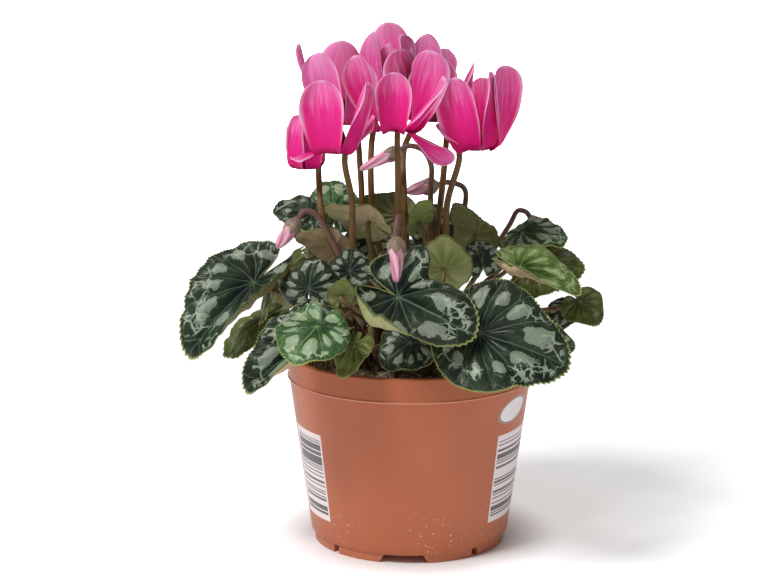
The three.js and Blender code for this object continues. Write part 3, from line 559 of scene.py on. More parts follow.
def petalSkin(name, shades):
    # the chart runs from edge to edge across, two units a petal, and from claw to tip along
    finish = Finish(name)
    chart = finish.chart()
    across, share, nothing = finish.split(chart)
    side = abs(across.math("FRACT").scaled(2.0, -1.0))
    fine = finish.streaks(chart, (60.0, 2.6, 1.0), roughness=0.6)
    broad = finish.streaks(chart, (9.0, 2.2, 1.0), 3.0)
    edge = (side + finish.noise(160.0).scaled(0.1, -0.05)).ease(0.84, 1.0) * share.ease(0.1, 0.5)
    colour = finish.over(
        finish.ramp(share, list(zip(petalStops, shades))),
        (fine.ease(0.45, 0.7) * share.ease(0.0, 0.5), 0.25, shades[1]),
        (broad.ease(0.4, 0.8) * share.ease(0.35, 0.95), 0.5, petalEdge),
        (edge.math("MAXIMUM", share.ease(0.95, 1.0)), 0.75, petalEdge))
    height = fine + finish.noise(900.0, 2.0)
    return finish.close(
        colour, 0.5, height, depth=0.00025, strength=0.4, Specular_IOR_Level=0.2, Subsurface_Weight=0.35,
        Subsurface_Scale=0.002)


def calyxSkin(name, first, second):
    finish = Finish(name)
    streaks = finish.streaks(finish.place, (900.0, 900.0, 260.0))
    colour = finish.mix(streaks.ease(0.35, 0.65), first, second)
    colour = finish.over(colour, (finish.cells(1300.0).ease(0.22, 0.12), 0.5, (70, 44, 40)))
    return finish.close(colour, 0.5, streaks, Sheen_Weight=0.15)


def furledSkin():
    finish = Finish("furledPetals")
    chart = finish.chart()
    turn, share, nothing = finish.split(chart)
    fold = abs(share.scaled(1.6, turn * 5.0).math("FRACT") - 0.5)
    streaks = finish.streaks(chart, (60.0, 3.0, 1.0))
    colour = finish.mix(fold.ease(0.02, 0.4), (196, 108, 138), (232, 190, 200))
    colour = finish.over(
        colour, (share.ease(0.55, 1.0), 1.0, (222, 150, 176)), (streaks.ease(0.4, 0.7), 0.4, (206, 104, 146)))
    return finish.close(colour, 0.48, streaks, Sheen_Weight=0.2)


uppers = {key: leafUpper("leafUpper_" + key, look) for key, look in leafLooks.items()}
unders = {key: leafUnder("leafUnder_" + key, look) for key, look in underLooks.items()}
# the petioles darken towards their feet: painted shade down among the stalks in the crown
petioleSkin = stalkSkin("petioleSkin", (0.0, (52, 38, 30)), (0.6, (88, 66, 48)), (1.0, (118, 104, 64)))
scapeSkin = stalkSkin(
    "scapeSkin", (0.0, (102, 76, 30)), (0.35, (122, 90, 38)), (0.8, (112, 82, 36)), (1.0, (80, 54, 40)))
budStalkSkin = stalkSkin("budStalkSkin", (0.0, (100, 72, 46)), (0.6, (116, 84, 64)), (1.0, (110, 80, 76)))
petalSkins = {key: petalSkin("petal_" + key, shades) for key, shades in petalLooks.items()}
sepalSkin = calyxSkin("sepalSkin", (104, 92, 66), (128, 96, 80))
budCalyxSkin = calyxSkin("budCalyxSkin", (116, 98, 84), (138, 118, 96))
furledPetals = furledSkin()
print("stage 2: finishes of the plant")


# Pot: a tree turns the wall's outline round the axis, then its foot is notched

potSettings = {
    "height": 94.0, "rimRadius": 60.0, "rimBand": 11.5, "ringProud": 0.5, "wallTopRadius": 59.4,
    "wallFootRadius": 48.9, "footRadius": 47.5, "footHeight": 4.5, "wall": 1.2, "sides": 192,
    "turningRadius": 30.0, "mergeDistance": 0.02, "softness": 0.4,
}
notchSettings = {"depth": 12.0, "height": 4.0, "wideTop": 19.0, "wideFoot": 25.0, "narrow": 3.5, "turn": -4.0}
printSettings = {
    "leftPanel": (-78.5, -50.0), "rightPanel": (48.0, 86.0), "panelHeights": (16.0, 60.5),
    "leftBars": (-75.5, -51.2), "rightBars": (49.2, 83.0), "bars": (19.0, 57.5), "barWidth": 0.62,
    "ovalPlace": (58.5, 72.0), "ovalSize": (12.0, 5.8), "ovalSlant": -0.12,
    "raisedLine": (81.9, 82.9), "footStep": (5.4, 4.4), "gritHeights": (34.0, 8.0),
    "white": (232, 222, 222), "ink": (62, 58, 62), "ring": (96, 92, 94),
}


def turnRound(take, given):
    outline = take("GeometryNodeMeshToCurve", {"Mesh": given["Geometry"]})
    circle = take("GeometryNodeCurvePrimitiveCircle", {
        "Resolution": given["Sides"], "Radius": given["Turning radius"]})
    turned = take("GeometryNodeCurveToMesh", {"Curve": circle, "Profile Curve": outline})
    return take("GeometryNodeMergeByDistance", {"Geometry": turned, "Distance": given["Merge distance"]})


turningTree = makeTree("turnedForm", {
    "Sides": "Int", "Turning radius": "Float", "Merge distance": "Float"}, turnRound)


def turnedMesh(outline, material):
    # outline is a line of (radius, height) points from the axis back to the axis
    radius = potSettings["turningRadius"]
    line = newLine("outline", [((r - radius) * mm, -z * mm, 0) for r, z in outline])
    return outwards(grown(line, turningTree, {
        "Sides": potSettings["sides"], "Turning radius": radius * mm,
        "Merge distance": potSettings["mergeDistance"] * mm, "Material": material}))


def rounded(outline, radius, steps=4):
    # rounds every corner of an outline that lies off the axis
    result = []
    for i, point in enumerate(outline):
        corner = np.array(point, float)
        before = np.array(outline[i - 1], float) - corner
        after = np.array(outline[(i + 1) % len(outline)], float) - corner
        reach = min(radius, 0.4 * np.linalg.norm(before), 0.4 * np.linalg.norm(after))
        if corner[0] < 0.01 or reach < 0.05:
            result.append(tuple(corner))
            continue
        start, end = corner + unit(before) * reach, corner + unit(after) * reach
        for t in np.linspace(0, 1, steps):
            result.append(tuple((1 - t) ** 2 * start + 2 * t * (1 - t) * corner + t * t * end))
    return result


def notchMesh(grow):
    # eight prisms through the foot ring, wide and narrow by turns
    s = notchSettings
    footRadius = potSettings["footRadius"]
    points, faces = [], []
    for i in range(8):
        top, low = (s["wideTop"], s["wideFoot"]) if i % 2 == 0 else (s["narrow"], s["narrow"])
        foot, head, height = low / 2 + grow, top / 2 + grow, s["height"] + grow
        turn = math.radians(s["turn"] + 45 * i)
        along = np.array((math.sin(turn), -math.cos(turn), 0))
        beside = np.array((math.cos(turn), math.sin(turn), 0))
        near, far = 8 * i, 8 * i + 4
        for distance in (footRadius - s["depth"] - grow, footRadius + 10):
            for x, z in ((-foot, -1), (foot, -1), (head, height), (-head, height)):
                points.append(tuple((along * distance + beside * x + (0, 0, z)) * mm))
        faces += [tuple(range(near, near + 4)), tuple(range(far, far + 4))]
        faces += [(near + j, near + (j + 1) % 4, far + (j + 1) % 4, far + j) for j in range(4)]
    return outwards(newMesh("notches", points, faces=faces))


def potPlastic():
    s = printSettings
    finish = Finish("potPlastic")
    x, y, z = finish.split(finish.place)
    height = z * 1000.0
    turn = x.math("ARCTAN2", y * -1.0) * (180 / math.pi)
    drawn = finish.streaks(finish.place, (300.0, 300.0, 12.0), 3.0)
    colour = finish.mix(finish.noise(14.0).ease(0.3, 0.7), (174, 95, 62), (184, 104, 70))

    # the moulded line under the rim and the foot's step are paler, and grit has splashed the foot
    patches = finish.noise(48.0).ease(0.48, 0.6)
    grit = finish.cells(330.0).ease(0.22, 0.1) * (height.ease(*s["gritHeights"]) * patches)
    colour = finish.over(
        colour, (drawn.ease(0.5, 0.8), 0.25, (168, 92, 66)),
        (height.within(*s["raisedLine"], 0.2), 0.5, (222, 160, 134)),
        (height.ease(*s["footStep"]), 0.3, (206, 132, 102)), (grit, 0.75, (226, 190, 160)),
        (finish.cells(210.0).ease(0.05, 0.03), 0.6, (110, 60, 44)))

    # plain printed panels with stripes that stand for nothing, and a bare oval in a thin ring
    left, right, leftBars, rightBars = [
        turn.within(*s[name], soft) for name, soft in (
            ("leftPanel", 0.25), ("rightPanel", 0.25), ("leftBars", 0.2), ("rightBars", 0.2))]
    panel = height.within(*s["panelHeights"], 0.12) * left.math("MAXIMUM", right)
    row = (height / s["barWidth"]).math("FLOOR")
    seed = turn.math("GREATER_THAN", 0.0).scaled(57.0, row)
    chance = finish.take("ShaderNodeTexWhiteNoise", {"W": seed}, noise_dimensions="1D")
    bars = chance.math("GREATER_THAN", 0.42) * height.within(*s["bars"], 0.1)
    bars = bars * leftBars.math("MAXIMUM", rightBars)
    colour = finish.over(colour, (panel, 0.95, s["white"]), (bars, 0.9, s["ink"]))
    aside = (turn - s["ovalPlace"][0]) * 1.02
    above = aside.scaled(s["ovalSlant"], height - s["ovalPlace"][1]) / s["ovalSize"][1]
    aside = aside / s["ovalSize"][0]
    reach = (aside.math("POWER", 2.0) + above.math("POWER", 2.0)).math("SQRT")
    colour = finish.mix(reach.ease(1.03, 0.99), colour, s["white"])
    colour = finish.mix(reach.within(0.91, 0.99, 0.015), colour, s["ring"])

    scuffs = finish.noise(160.0, 5.0)
    relief = drawn.scaled(0.6, scuffs * 0.4)
    roughness = scuffs.scaled(0.2, 0.32)
    return finish.close(colour, roughness, relief, depth=0.0002, strength=0.35, Specular_IOR_Level=0.3)


def makePot():
    s = potSettings
    bandFoot = s["height"] - s["rimBand"]
    plastic = potPlastic()
    outside = rounded([
        (0, 0), (s["footRadius"], 0), (s["footRadius"], s["footHeight"]),
        (s["wallFootRadius"], s["footHeight"] + 0.6), (s["wallTopRadius"], bandFoot - 0.5),
        (s["rimRadius"] + s["ringProud"], bandFoot), (s["rimRadius"] - 0.1, bandFoot + 0.6),
        (s["rimRadius"], s["height"] - 0.6), (s["rimRadius"] - 0.5, s["height"]), (0, s["height"]),
    ], s["softness"])
    inside = [
        (0, s["wall"]), (s["footRadius"] - s["wall"], s["wall"]),
        (s["wallTopRadius"] - s["wall"], s["height"] + 1), (0, s["height"] + 1),
    ]
    hollow = cut(turnedMesh(inside, plastic), notchMesh(s["wall"]))
    shell = cut(cut(turnedMesh(outside, plastic), hollow), notchMesh(0))
    makePiece("potShell", shell, [plastic], "pot", "pot")


makePot()
print("stage 3: pot")


# Soil: peat with crumbs, pale vermiculite and a straw

soilSettings = {
    "edgeTop": 85.0, "edgeRadius": 57.6, "crownRadius": 25.0, "crownTop": 84.0, "inwardRise": 1.2,
    "foot": 8.0, "footRadius": 46.2, "sides": 200, "rows": 46, "lumps": 1.5,
    "lumpSizes": (23, 15, 9, 6, 4.3, 3.1), "seed": 5,
}
tuberSettings = {
    "middle": 79, "halfHeight": 15, "radius": 27.0, "bulge": 0.6, "lumps": 0.4, "lumpSizes": (14, 9, 5),
    "sides": 96, "rows": 40, "seed": 8,
}
crumbSettings = {"Crumb size": 0.0011, "Density": 90000.0, "Seed": 4}
flakeSettings = {"Crumb size": 0.0009, "Density": 14000.0, "Seed": 9}
strawSettings = {
    "path": [(-16, -30, 87.5), (-10, -31, 90.5), (-2, -31, 91), (5, -29, 88)], "radii": (0.45, 0.3)}


def scatter(take, given):
    spots = take("GeometryNodeDistributePointsOnFaces", {
        "Mesh": given["Geometry"], "Density": given["Density"], "Seed": given["Seed"]})
    crumb = take("GeometryNodeMeshIcoSphere", {"Radius": given["Crumb size"], "Subdivisions": 2})
    shove = take("ShaderNodeTexNoise", {"Scale": 900.0, "Detail": 1.0}, "Color")
    shove = take("ShaderNodeVectorMath", {0: shove, 1: (0.5, 0.5, 0.5)}, operation="SUBTRACT")
    shove = take("ShaderNodeVectorMath", {0: shove, "Scale": given["Crumb size"]}, operation="SCALE")
    lumpy = take("GeometryNodeSetPosition", {"Geometry": crumb, "Offset": shove})
    turn, size = [
        take("FunctionNodeRandomValue", {0: low, 1: high, "Seed": seed}, data_type="FLOAT_VECTOR")
        for low, high, seed in (((0, 0, 0), (6.28, 6.28, 6.28), 3), ((0.35, 0.35, 0.25), (1.3, 1.0, 0.9), 5))]
    return take("GeometryNodeInstanceOnPoints", {
        "Points": spots, "Instance": lumpy, "Rotation": turn, "Scale": size})


scatterTree = makeTree("scatteredCrumbs", {"Crumb size": "Float", "Density": "Float", "Seed": "Int"}, scatter)


def earth(name, dark, light, scale):
    finish = Finish(name)
    grain = finish.noise(scale, 6.0, roughness=0.65)
    colour = finish.mix(grain.ease(0.35, 0.7), dark, light)
    colour = finish.over(colour, (finish.cells(420.0).ease(0.1, 0.05), 0.5, (150, 128, 100)))
    return finish.close(colour, 0.92, grain, depth=0.0008, strength=0.8)


def waves(x, y, seed, sizes):
    # smooth unevenness between about -1 and 1 from a few crossing waves of the given lengths
    random = np.random.default_rng(seed)
    total = np.zeros_like(x)
    for size in sizes:
        turn, shift = random.uniform(0, 2 * math.pi, 2)
        total += np.sin((x * math.cos(turn) + y * math.sin(turn)) * 2 * math.pi / size + shift)
    return total / len(sizes) ** 0.5


def lumpyRing(s, radius, height, share, turns):
    uneven = waves(radius * np.cos(turns), radius * np.sin(turns), s["seed"], s["lumpSizes"])
    return ring(upright, radius, height + s["lumps"] * share * uneven, turns)


def makeSoil():
    s = soilSettings
    turns = turnsOf(s["sides"])
    peat = earth("peat", (94, 78, 64), (204, 176, 146), 700.0)
    pale = earth("vermiculite", (176, 158, 132), (226, 212, 190), 500.0)
    rings = [ring(upright, radius, height, turns) for radius, height in (
        (0, s["foot"]), (s["footRadius"], s["foot"]), (s["edgeRadius"], s["edgeTop"] - 1))]
    for radius in np.linspace(s["edgeRadius"], s["crownRadius"], s["rows"]):
        inward = (s["edgeRadius"] - radius) / (s["edgeRadius"] - s["crownRadius"])
        height = s["edgeTop"] + s["inwardRise"] * inward
        rings.append(lumpyRing(s, radius, height, min(1, 4 * inward), turns))
    rings.append(ring(upright, 0, s["crownTop"], turns))
    grid = np.array(rings[3:-1])
    here = np.arange(grid.shape[0] * s["sides"]).reshape(grid.shape[:2])
    top = newMesh("top", (grid.reshape(-1, 3) * mm).tolist(), faces=strips(here))
    crumbs = grown(top, scatterTree, {**crumbSettings, "Material": peat})
    flakes = grown(top.copy(), scatterTree, {**flakeSettings, "Material": pale})
    straw = stalkMesh(strawSettings["path"], *strawSettings["radii"], pale, sides=8, steps=5)
    whole = joined([ringMesh(rings), crumbs, flakes, straw], [0, 0, 1, 1])
    makePiece("pottingSoil", whole, [peat, pale], "soil", "soil")


def makeTuber():
    s = tuberSettings
    bark = earth("tuberBark", (62, 48, 38), (104, 84, 66), 260.0)
    turns = turnsOf(s["sides"])
    rings = []
    for angle in np.linspace(-math.pi / 2, math.pi / 2, s["rows"]):
        radius = abs(math.cos(angle)) ** s["bulge"] * s["radius"] if abs(angle) < 1.57 else 0.0
        height = s["middle"] + s["halfHeight"] * math.sin(angle)
        rings.append(lumpyRing(s, radius, height, math.cos(angle), turns))
    makePiece("tuberCrown", ringMesh(rings), [bark], "tuber", "tuber")


makeSoil()
makeTuber()
print("stage 4: soil and tuber")


# Leaves: each by its name, where its petiole meets the blade, where its tip is, its roll, its width
# and what differs from leafDefaults, as in the part's own source

leafSettings = {
    "thickness": 0.5, "petiole": (1.35, 1.15), "sinusWidth": 7.0, "slimAngle": 55, "slimSpread": 28,
    "bendSteps": 12,
}
bladeDetail = {
    "large": {"sides": 380, "rings": 15, "teeth": 115}, "small": {"sides": 230, "rings": 11, "teeth": 67},
    "toothDepth": 0.017, "sinusFrom": 164, "sinusSteps": 10,
}
reliefSettings = {
    "groove": -0.009, "grooveWidth": 0.05, "puff": 0.042, "frill": 0.011, "frills": 17, "uneven": 0.9,
    "sizes": (17, 11, 8), "seed": 6, "calmFrom": 168, "calm": 0.3,
}
veinSettings = {"angles": (0, 31, 64, 101, 142, 180), "sweep": 0.17}
crownRings = {"outer": 21.0, "middle": 15.8, "inner": 10.6, "core": 5.0}
leafDefaults = dict(
    slimLeft=0, bow=0.05, lobes=0, fold=0, edge=2, turnTip=-20, turnLeft=-20, turnRight=-20, turnBack=-10,
    wave=0.03, waves=3, rise=0.45, under=0.2, behind=0.03, bend=(0, 0, 0), ring="outer", look="dark",
    below="green", size="small")
leaves = [
    ("left_large", (-75, -21, 132), (-106, -36, 99), 30, 0.9, dict(size="large", fold=20, bow=0.08,
        turnLeft=130, turnTip=-10, turnBack=40, edge=4, below="olive")),
    ("left_behind", (-62, 4, 134), (-76, -4, 108), -25, 0.7, dict(rise=0.3, look="olive", below="beige")),
    ("left_under", (-72, 8, 108), (-92, -6, 93), 10, 0.8, dict(look="olive", below="beige")),
    ("left_low", (-45, -55, 111), (-78, -65, 91), 40, 0.9, dict(size="large", fold=20, turnLeft=200,
        edge=2.5, below="pink")),
    ("front_heart", (-43, -73, 122), (-55, -86, 110), 5, 1.8, dict(size="large", lobes=1.5, turnLeft=-100,
        turnRight=-30, rise=0.9, bend=(4, 10, 0), look="fresh")),
    ("front_left", (-48, -36, 132), (-46, -28, 150), 0, 1.3, dict(turnTip=-80, turnLeft=-40, turnRight=-40,
        ring="middle")),
    ("front_mid", (-29, -28, 139), (-28, -18, 153), 0, 1.1, dict(turnTip=-80, turnLeft=-40, turnRight=-40,
        ring="middle")),
    ("centre_large", (-6, -59, 133), (29, -80, 119), -55, 1.3, dict(size="large", fold=14, turnRight=190,
        turnLeft=-70, turnTip=0, turnBack=60, edge=2.5, rise=0.6, slimLeft=0.45)),
    ("right_large", (31, -70, 118), (72, -80, 106), -55, 1.12, dict(size="large", fold=14, turnLeft=-35,
        turnRight=-30)),
    ("right_bright", (52, -25, 140), (79, -42, 133), -50, 0.7, dict(size="large", fold=10, turnRight=200,
        turnBack=60, look="bright", below="pink")),
    # right_top wears the brighter fresh look as painted light, since its blade lies in shade
    ("right_top", (56, 19, 149), (77, 8, 149), -22, 1.2, dict(ring="middle", look="fresh", below="beige")),
    ("right_olive", (62, 10, 134), (86, 5, 135), -50, 1.1, dict(look="olive")),
    ("right_low", (82, -13, 121), (91, -21, 112), -40, 1.2, dict(look="olive")),
    ("right_pink", (77, 2, 115), (71, -6, 106), 20, 1.1, dict(below="pink")),
    ("right_edge", (62, -40, 108), (77, -46, 106), -60, 1, dict()),
    ("front_shade", (0, -41, 107), (-14, -47, 98), 30, 1.5, dict()),
    ("front_olive", (-26, -60, 110), (-33, -69, 97), 0, 0.9, dict(look="olive")),
    ("front_pale", (-33, -42, 130), (-32, -47, 140), 0, 1, dict(rise=0.5, ring="middle", below="pale")),
    ("left_pale", (-37, 7, 145), (-57, 4, 153), -50, 0.9, dict(rise=0.3, bend=(0, 16, 0), ring="middle",
        below="pink")),
    ("back_left", (-49, 18, 159), (-68, 23, 163), 30, 1.1, dict(ring="middle", below="beige")),
    ("back_left_tall", (-38, 31, 158), (-40, 51, 173), 0, 1, dict(ring="middle", look="fresh")),
    ("inner_beige", (-20, 1, 158), (-44, 0, 167), -42, 0.9, dict(ring="inner", below="beige")),
    ("inner_top", (-6, 29, 156), (-25, 25, 166), -80, 0.9, dict(ring="middle")),
    ("inner_centre", (4, -2, 158), (8, -9, 172), 0, 0.8, dict(ring="inner", below="pale")),
    ("inner_dark", (11, 14, 150), (13, 28, 164), 0, 0.9, dict(ring="inner")),
    ("back_right_pale", (33, 23, 148), (25, 13, 167), 0, 1.1, dict(ring="middle", below="pale")),
    ("inner_pale", (16, -18, 138), (16, -30, 158), 0, 1, dict(rise=0.3, ring="middle", below="pale")),
    ("inner_right", (35, -3, 139), (34, 8, 149), 0, 1.2, dict(ring="middle")),
    ("inner_mid", (-12, -25, 137), (-12, -17, 147), 0, 1, dict(ring="inner")),
    ("back_1", (-52, 50, 130), (-70, 64, 98), 0, 1, dict()),
    ("back_2", (-28, 60, 122), (-36, 74, 82), 0, 0.8, dict()),
    ("back_3", (14, 60, 136), (14, 96, 114), 0, 1, dict()),
    ("back_4", (54, 50, 130), (78, 76, 112), 0, 1, dict()),
    ("back_5", (-20, 42, 141), (-20, 60, 151), 0, 1.1, dict(ring="middle")),
]


def marginAt(leaf, angle):
    fromTip = np.abs(angle)
    heart = 0.6 + 0.1 * np.cos(np.radians(fromTip)) + 0.3 * np.exp(-((fromTip / 25) ** 2))
    slim = np.where(angle < 0, leaf["slimLeft"], 0)
    drawnIn = slim * np.exp(-(((fromTip - leafSettings["slimAngle"]) / leafSettings["slimSpread"]) ** 2))
    notch = np.exp(-(((180 - fromTip) / leafSettings["sinusWidth"]) ** 2))
    return heart * (1 - drawnIn) * (1 - 0.9 * notch)


def leafFrame(leaf):
    # length, forward to the tip, right, and up out of the upper face
    span = leaf["tip"] - leaf["at"]
    forward = unit(span)
    level = unit(cross(forward, (0, 0, 1)))
    above = cross(level, forward)
    roll = math.radians(leaf["roll"])
    right = level * math.cos(roll) + above * math.sin(roll)
    up = above * math.cos(roll) - level * math.sin(roll)
    return np.linalg.norm(span), forward, right, up


def veinCount(angle, share):
    # counts the main veins to either side of the midrib; each bends towards the tip as it runs out
    folded = np.abs(angle)
    straight = folded / (1 - veinSettings["sweep"] * share * np.sin(np.radians(folded)))
    return np.sign(angle) * np.interp(straight, veinSettings["angles"], range(6))


def relief(leaf, length, angle, share, along, across):
    # sunken veins, blades puffed up between them, a frilled margin and some unevenness
    s = reliefSettings
    count = veinCount(angle, share)
    fromVein = np.abs(count - np.round(count))
    groove = s["groove"] * np.exp(-((fromVein * share / s["grooveWidth"]) ** 2)) * np.minimum(1, share * 5)
    puff = s["puff"] * np.sin(math.pi * np.minimum(1, share)) * np.sin(math.pi * fromVein) ** 2
    shift = 3 * np.sin(np.radians(angle) * 3 + length) + length
    frill = s["frill"] * share ** 8 * np.sin(np.radians(angle) * s["frills"] + shift)
    x, z = along * length + leaf["at"][0], across * length + leaf["at"][2]
    uneven = s["uneven"] / length * share * waves(x, z, s["seed"], s["sizes"])
    return (groove + puff + frill + uneven) * np.where(np.abs(angle) < s["calmFrom"], 1, s["calm"])


def leafSurface(leaf, angle, share, tooth):
    length, forward, right, up = leafFrame(leaf)
    reach = share * marginAt(leaf, angle) * tooth
    end = np.where(np.abs(angle) < 90, leaf["turnTip"], leaf["turnBack"])
    side = np.where(angle > 0, leaf["turnRight"], leaf["turnLeft"])
    turn = side + (end - side) * np.cos(np.radians(angle)) ** 4
    flat, lift = np.zeros_like(reach), np.zeros_like(reach)
    steps = leafSettings["bendSteps"]
    for i in range(steps):
        slope = np.radians(turn * (share * (i + 0.5) / steps) ** leaf["edge"])
        flat += np.cos(slope) * reach / steps
        lift += np.sin(slope) * reach / steps
    along = flat * np.cos(np.radians(angle))
    across = flat * np.sin(np.radians(angle)) * leaf["width"]
    fold = math.radians(leaf["fold"])
    y, z = math.cos(fold) * across, math.sin(fold) * np.abs(across) + lift
    bow = 4 * leaf["bow"] * along
    arch = np.where(along > 0, bow * (1 - along), bow + leaf["lobes"] * along ** 2)
    wave = leaf["wave"] * share ** 2 * np.sin(np.radians(angle) * leaf["waves"])
    height = z + arch + wave + relief(leaf, length, angle, share, along, across)
    offset = np.multiply.outer(along, forward) + np.multiply.outer(y, right)
    return leaf["at"] + length * (offset + np.multiply.outer(height, up))


def normals(middle):
    # what stands upright on a sheet of points, row by row
    normal = np.cross(np.gradient(middle, axis=1), np.gradient(middle, axis=0))
    return normal / (np.linalg.norm(normal, axis=2, keepdims=True) + 1e-9)


def bladeMesh(leaf):
    s, detail = bladeDetail, bladeDetail[leaf["size"]]
    angles = np.linspace(-s["sinusFrom"], s["sinusFrom"], detail["sides"])
    sinus = np.linspace(s["sinusFrom"], 180, s["sinusSteps"])[1:]
    angles = np.concatenate([-sinus[::-1], angles, sinus])
    shares = np.concatenate([np.linspace(0.05, 1, detail["rings"])[:-1], [0.972, 1.0]])
    angle, share = np.meshgrid(angles, shares)
    sharpness = np.abs(((angle * detail["teeth"] / 360) % 1) * 2 - 1)
    tooth = 1 + s["toothDepth"] * (2 * sharpness - 1) * share ** 12 * (np.abs(angle) < 166)
    middle = leafSurface(leaf, angle, share, tooth)
    up = leafFrame(leaf)[3]
    normal = normals(middle)
    normal[:2] = normal[:2] * 0.3 + up * 0.7
    half = leafSettings["thickness"] / 2
    thick = half * np.where(share > 0.99, 0.35, 1.0)[..., None]
    upper, lower = [np.tile(leaf["at"] + up * side, (1, len(angles), 1)) for side in (half, -half)]
    sheet = np.concatenate([upper, middle + normal * thick, (middle - normal * thick)[::-1], lower])
    chart = np.stack([veinCount(angle, share) / 10 + 0.5, share], -1)
    pole = chart[:1] * (1, 0)
    charts = np.concatenate([pole, chart, chart[::-1], pole])
    bands = [0] * (len(shares) + 1) + [1] * len(shares)
    return ringMesh(list(sheet[:, :-1]), charts, bands)


def bezier(a, b, c, d, t):
    return (1 - t) ** 3 * a + 3 * (1 - t) ** 2 * t * b + 3 * (1 - t) * t * t * c + t ** 3 * d


def aboveHole(foot):
    return foot + np.array((0, 0, stalkSettings["holeDepth"] + 1))


def petiolePath(leaf, foot):
    length, forward, right, up = leafFrame(leaf)
    end, neck = leaf["at"] - up * 0.1, leaf["at"] - up * 3
    reach = np.linalg.norm(end - foot)
    rise = foot + (0, 0, reach * leaf["rise"]) + np.array(leaf["bend"], float)
    arrive = neck - up * reach * leaf["under"] - forward * reach * leaf["behind"]
    return [foot] + [bezier(aboveHole(foot), rise, arrive, neck, t / 3) for t in range(4)] + [end]


def makeLeaf(leaf, foot):
    petiole = stalkMesh(petiolePath(leaf, foot), *leafSettings["petiole"], petioleSkin, sides=10, steps=5)
    mesh = joined([bladeMesh(leaf), petiole], [None, 2])
    materials = [uppers[leaf["look"]], unders[leaf["below"]], petioleSkin]
    makeNode("leaf_" + leaf["name"], mesh, materials, "leaf")


# Flowers: each by the middle of its mouth, the way it faces, the points its scape passes and its
# petals, a row each in the order of petalColumns

bloomSettings = {
    "tubeRadius": 4.3, "ringRadius": 6.3, "tubeHeight": 5.2, "thickness": 0.45, "along": 34, "across": 16,
    "widest": 0.66, "clawWidth": 0.55, "flare": 95, "flareEnd": 0.16, "bendSteps": 32,
    "hook": ((-9.6, -6), (-9.4, 0), (-8, 4.5), (-5.4, 9), (-1.8, 10.4)),
}
petalRelief = {"flutes": 0.02, "fluteCount": 11, "margin": 0.9, "rolledEdge": 0.14, "sway": 0.7}
sepalSettings = {"inner": 1.6, "length": 3.4, "droop": 2.6, "sides": 60}
petalColumns = ("azimuth", "length", "width", "lean", "twist", "curl", "sway", "cup")
petalDefaults = {"curl": -6, "sway": 0, "cup": 0.25}
flowers = [
    dict(name="far_left", mouth=(-50, -4, 186), facing=-125, lean=0, ring="inner",
        via=((-40, -6, 151), (-43, -6, 165)), petals=[
        (0, 27, 12, 2, 10, -14), (60, 25, 11, 2, 10, -14), (122, 26, 11, 2, 10, -14),
        (-122, 26, 11, 2, 10, -14), (-60, 24, 11, 2, 10, -14)]),
    dict(name="left", mouth=(-37, -32, 197), facing=-130, lean=5, ring="inner",
        via=((-27, -12, 146), (-28, -16, 171)), petals=[
        (26, 36, 21, 9, 0, -6, 6), (88, 37, 15, 15, -30, -6, -8), (142, 23, 12, 38, 10),
        (-98, 32, 16, 17, 0), (-52, 15, 9, 112, 0)]),
    dict(name="left_high", mouth=(-33, 14, 205), facing=-145, lean=3, ring="inner",
        via=((-23, 18, 158), (-24, 22, 173)), petals=[
        (33, 38, 19, 10, 0, -6, 16), (96, 33, 17, 10, 20), (-115, 42, 22, 6, 0), (-40, 43, 10, 24, 0),
        (-76, 32, 12, 10, 0)]),
    dict(name="top", mouth=(-10, 30, 214), facing=-45, lean=5, ring="core",
        via=((-18, 10, 160), (-19, 12, 192)), petals=[
        (-85, 37, 15, 4, 10), (125, 41, 20, 2, 0), (-35, 30, 12, 3, 50), (25, 34, 14, 4, 20),
        (75, 34, 14, 4, 0)]),
    dict(name="top_right", mouth=(10, 46, 212), facing=-60, lean=5, ring="inner",
        via=((-2, 4, 151), (-3, 8, 172), (-3, 20, 190)), petals=[
        (-30, 36, 15, 4, 10), (34, 28, 14, 6, 20), (90, 28, 11, 12, 30), (136, 30, 13, 6, 0),
        (-100, 32, 15, 4, 0)]),
    dict(name="centre", mouth=(-8, -22, 206), facing=-100, lean=5, ring="core",
        via=((-6, -8, 153), (-6, -11, 178)), petals=[
        (8, 29, 17, 9, 0, -6, 0, 0.5), (-58, 39, 17, 20, -45, -6, 4), (115, 41, 23, 15, -50, -6, 2),
        (52, 39, 13, 50, -50, -10), (98, 28, 12, 124, 65, 0)]),
    dict(name="right_shaded", mouth=(10, 10, 207), facing=-150, lean=3, ring="core",
        via=((14, 2, 161), (16, 3, 179)), petals=[
        (70, 33, 19, 8, 0), (-40, 37, 18, 18, 75), (136, 34, 12, 25, 0), (-125, 33, 15, 6, 0),
        (2, 28, 12, 2, 0)]),
    dict(name="right", mouth=(32, -12, 196), facing=-20, lean=3, ring="inner",
        via=((17, -4, 152), (18, -5, 169)), petals=[
        (-100, 38, 22, 12, 0, -6, 6), (-42, 40, 12, 10, -50), (16, 42, 21, 11, 60), (90, 35, 18, 8, 0),
        (-146, 20, 9, 48, 0)]),
]


def bloomPlace(flower):
    # the mouth, the axis up from it and the front towards where it faces
    facing, lean = math.radians(flower["facing"]), math.radians(flower["lean"])
    level = np.array((math.cos(facing), math.sin(facing), 0))
    axis = np.array((0, 0, math.cos(lean))) - level * math.sin(lean)
    return flower["mouth"], axis, level * math.cos(lean) + (0, 0, math.sin(lean))


def petalHalfWidth(share):
    s = bloomSettings
    beyond = np.maximum(share - s["widest"], 0) / (1 - s["widest"])
    before = np.sin(math.pi / 2 * np.minimum(share / s["widest"], 1))
    return np.where(
        share > s["widest"], np.sqrt(np.maximum(0, 1 - beyond ** 2)),
        s["clawWidth"] + (1 - s["clawWidth"]) * before)


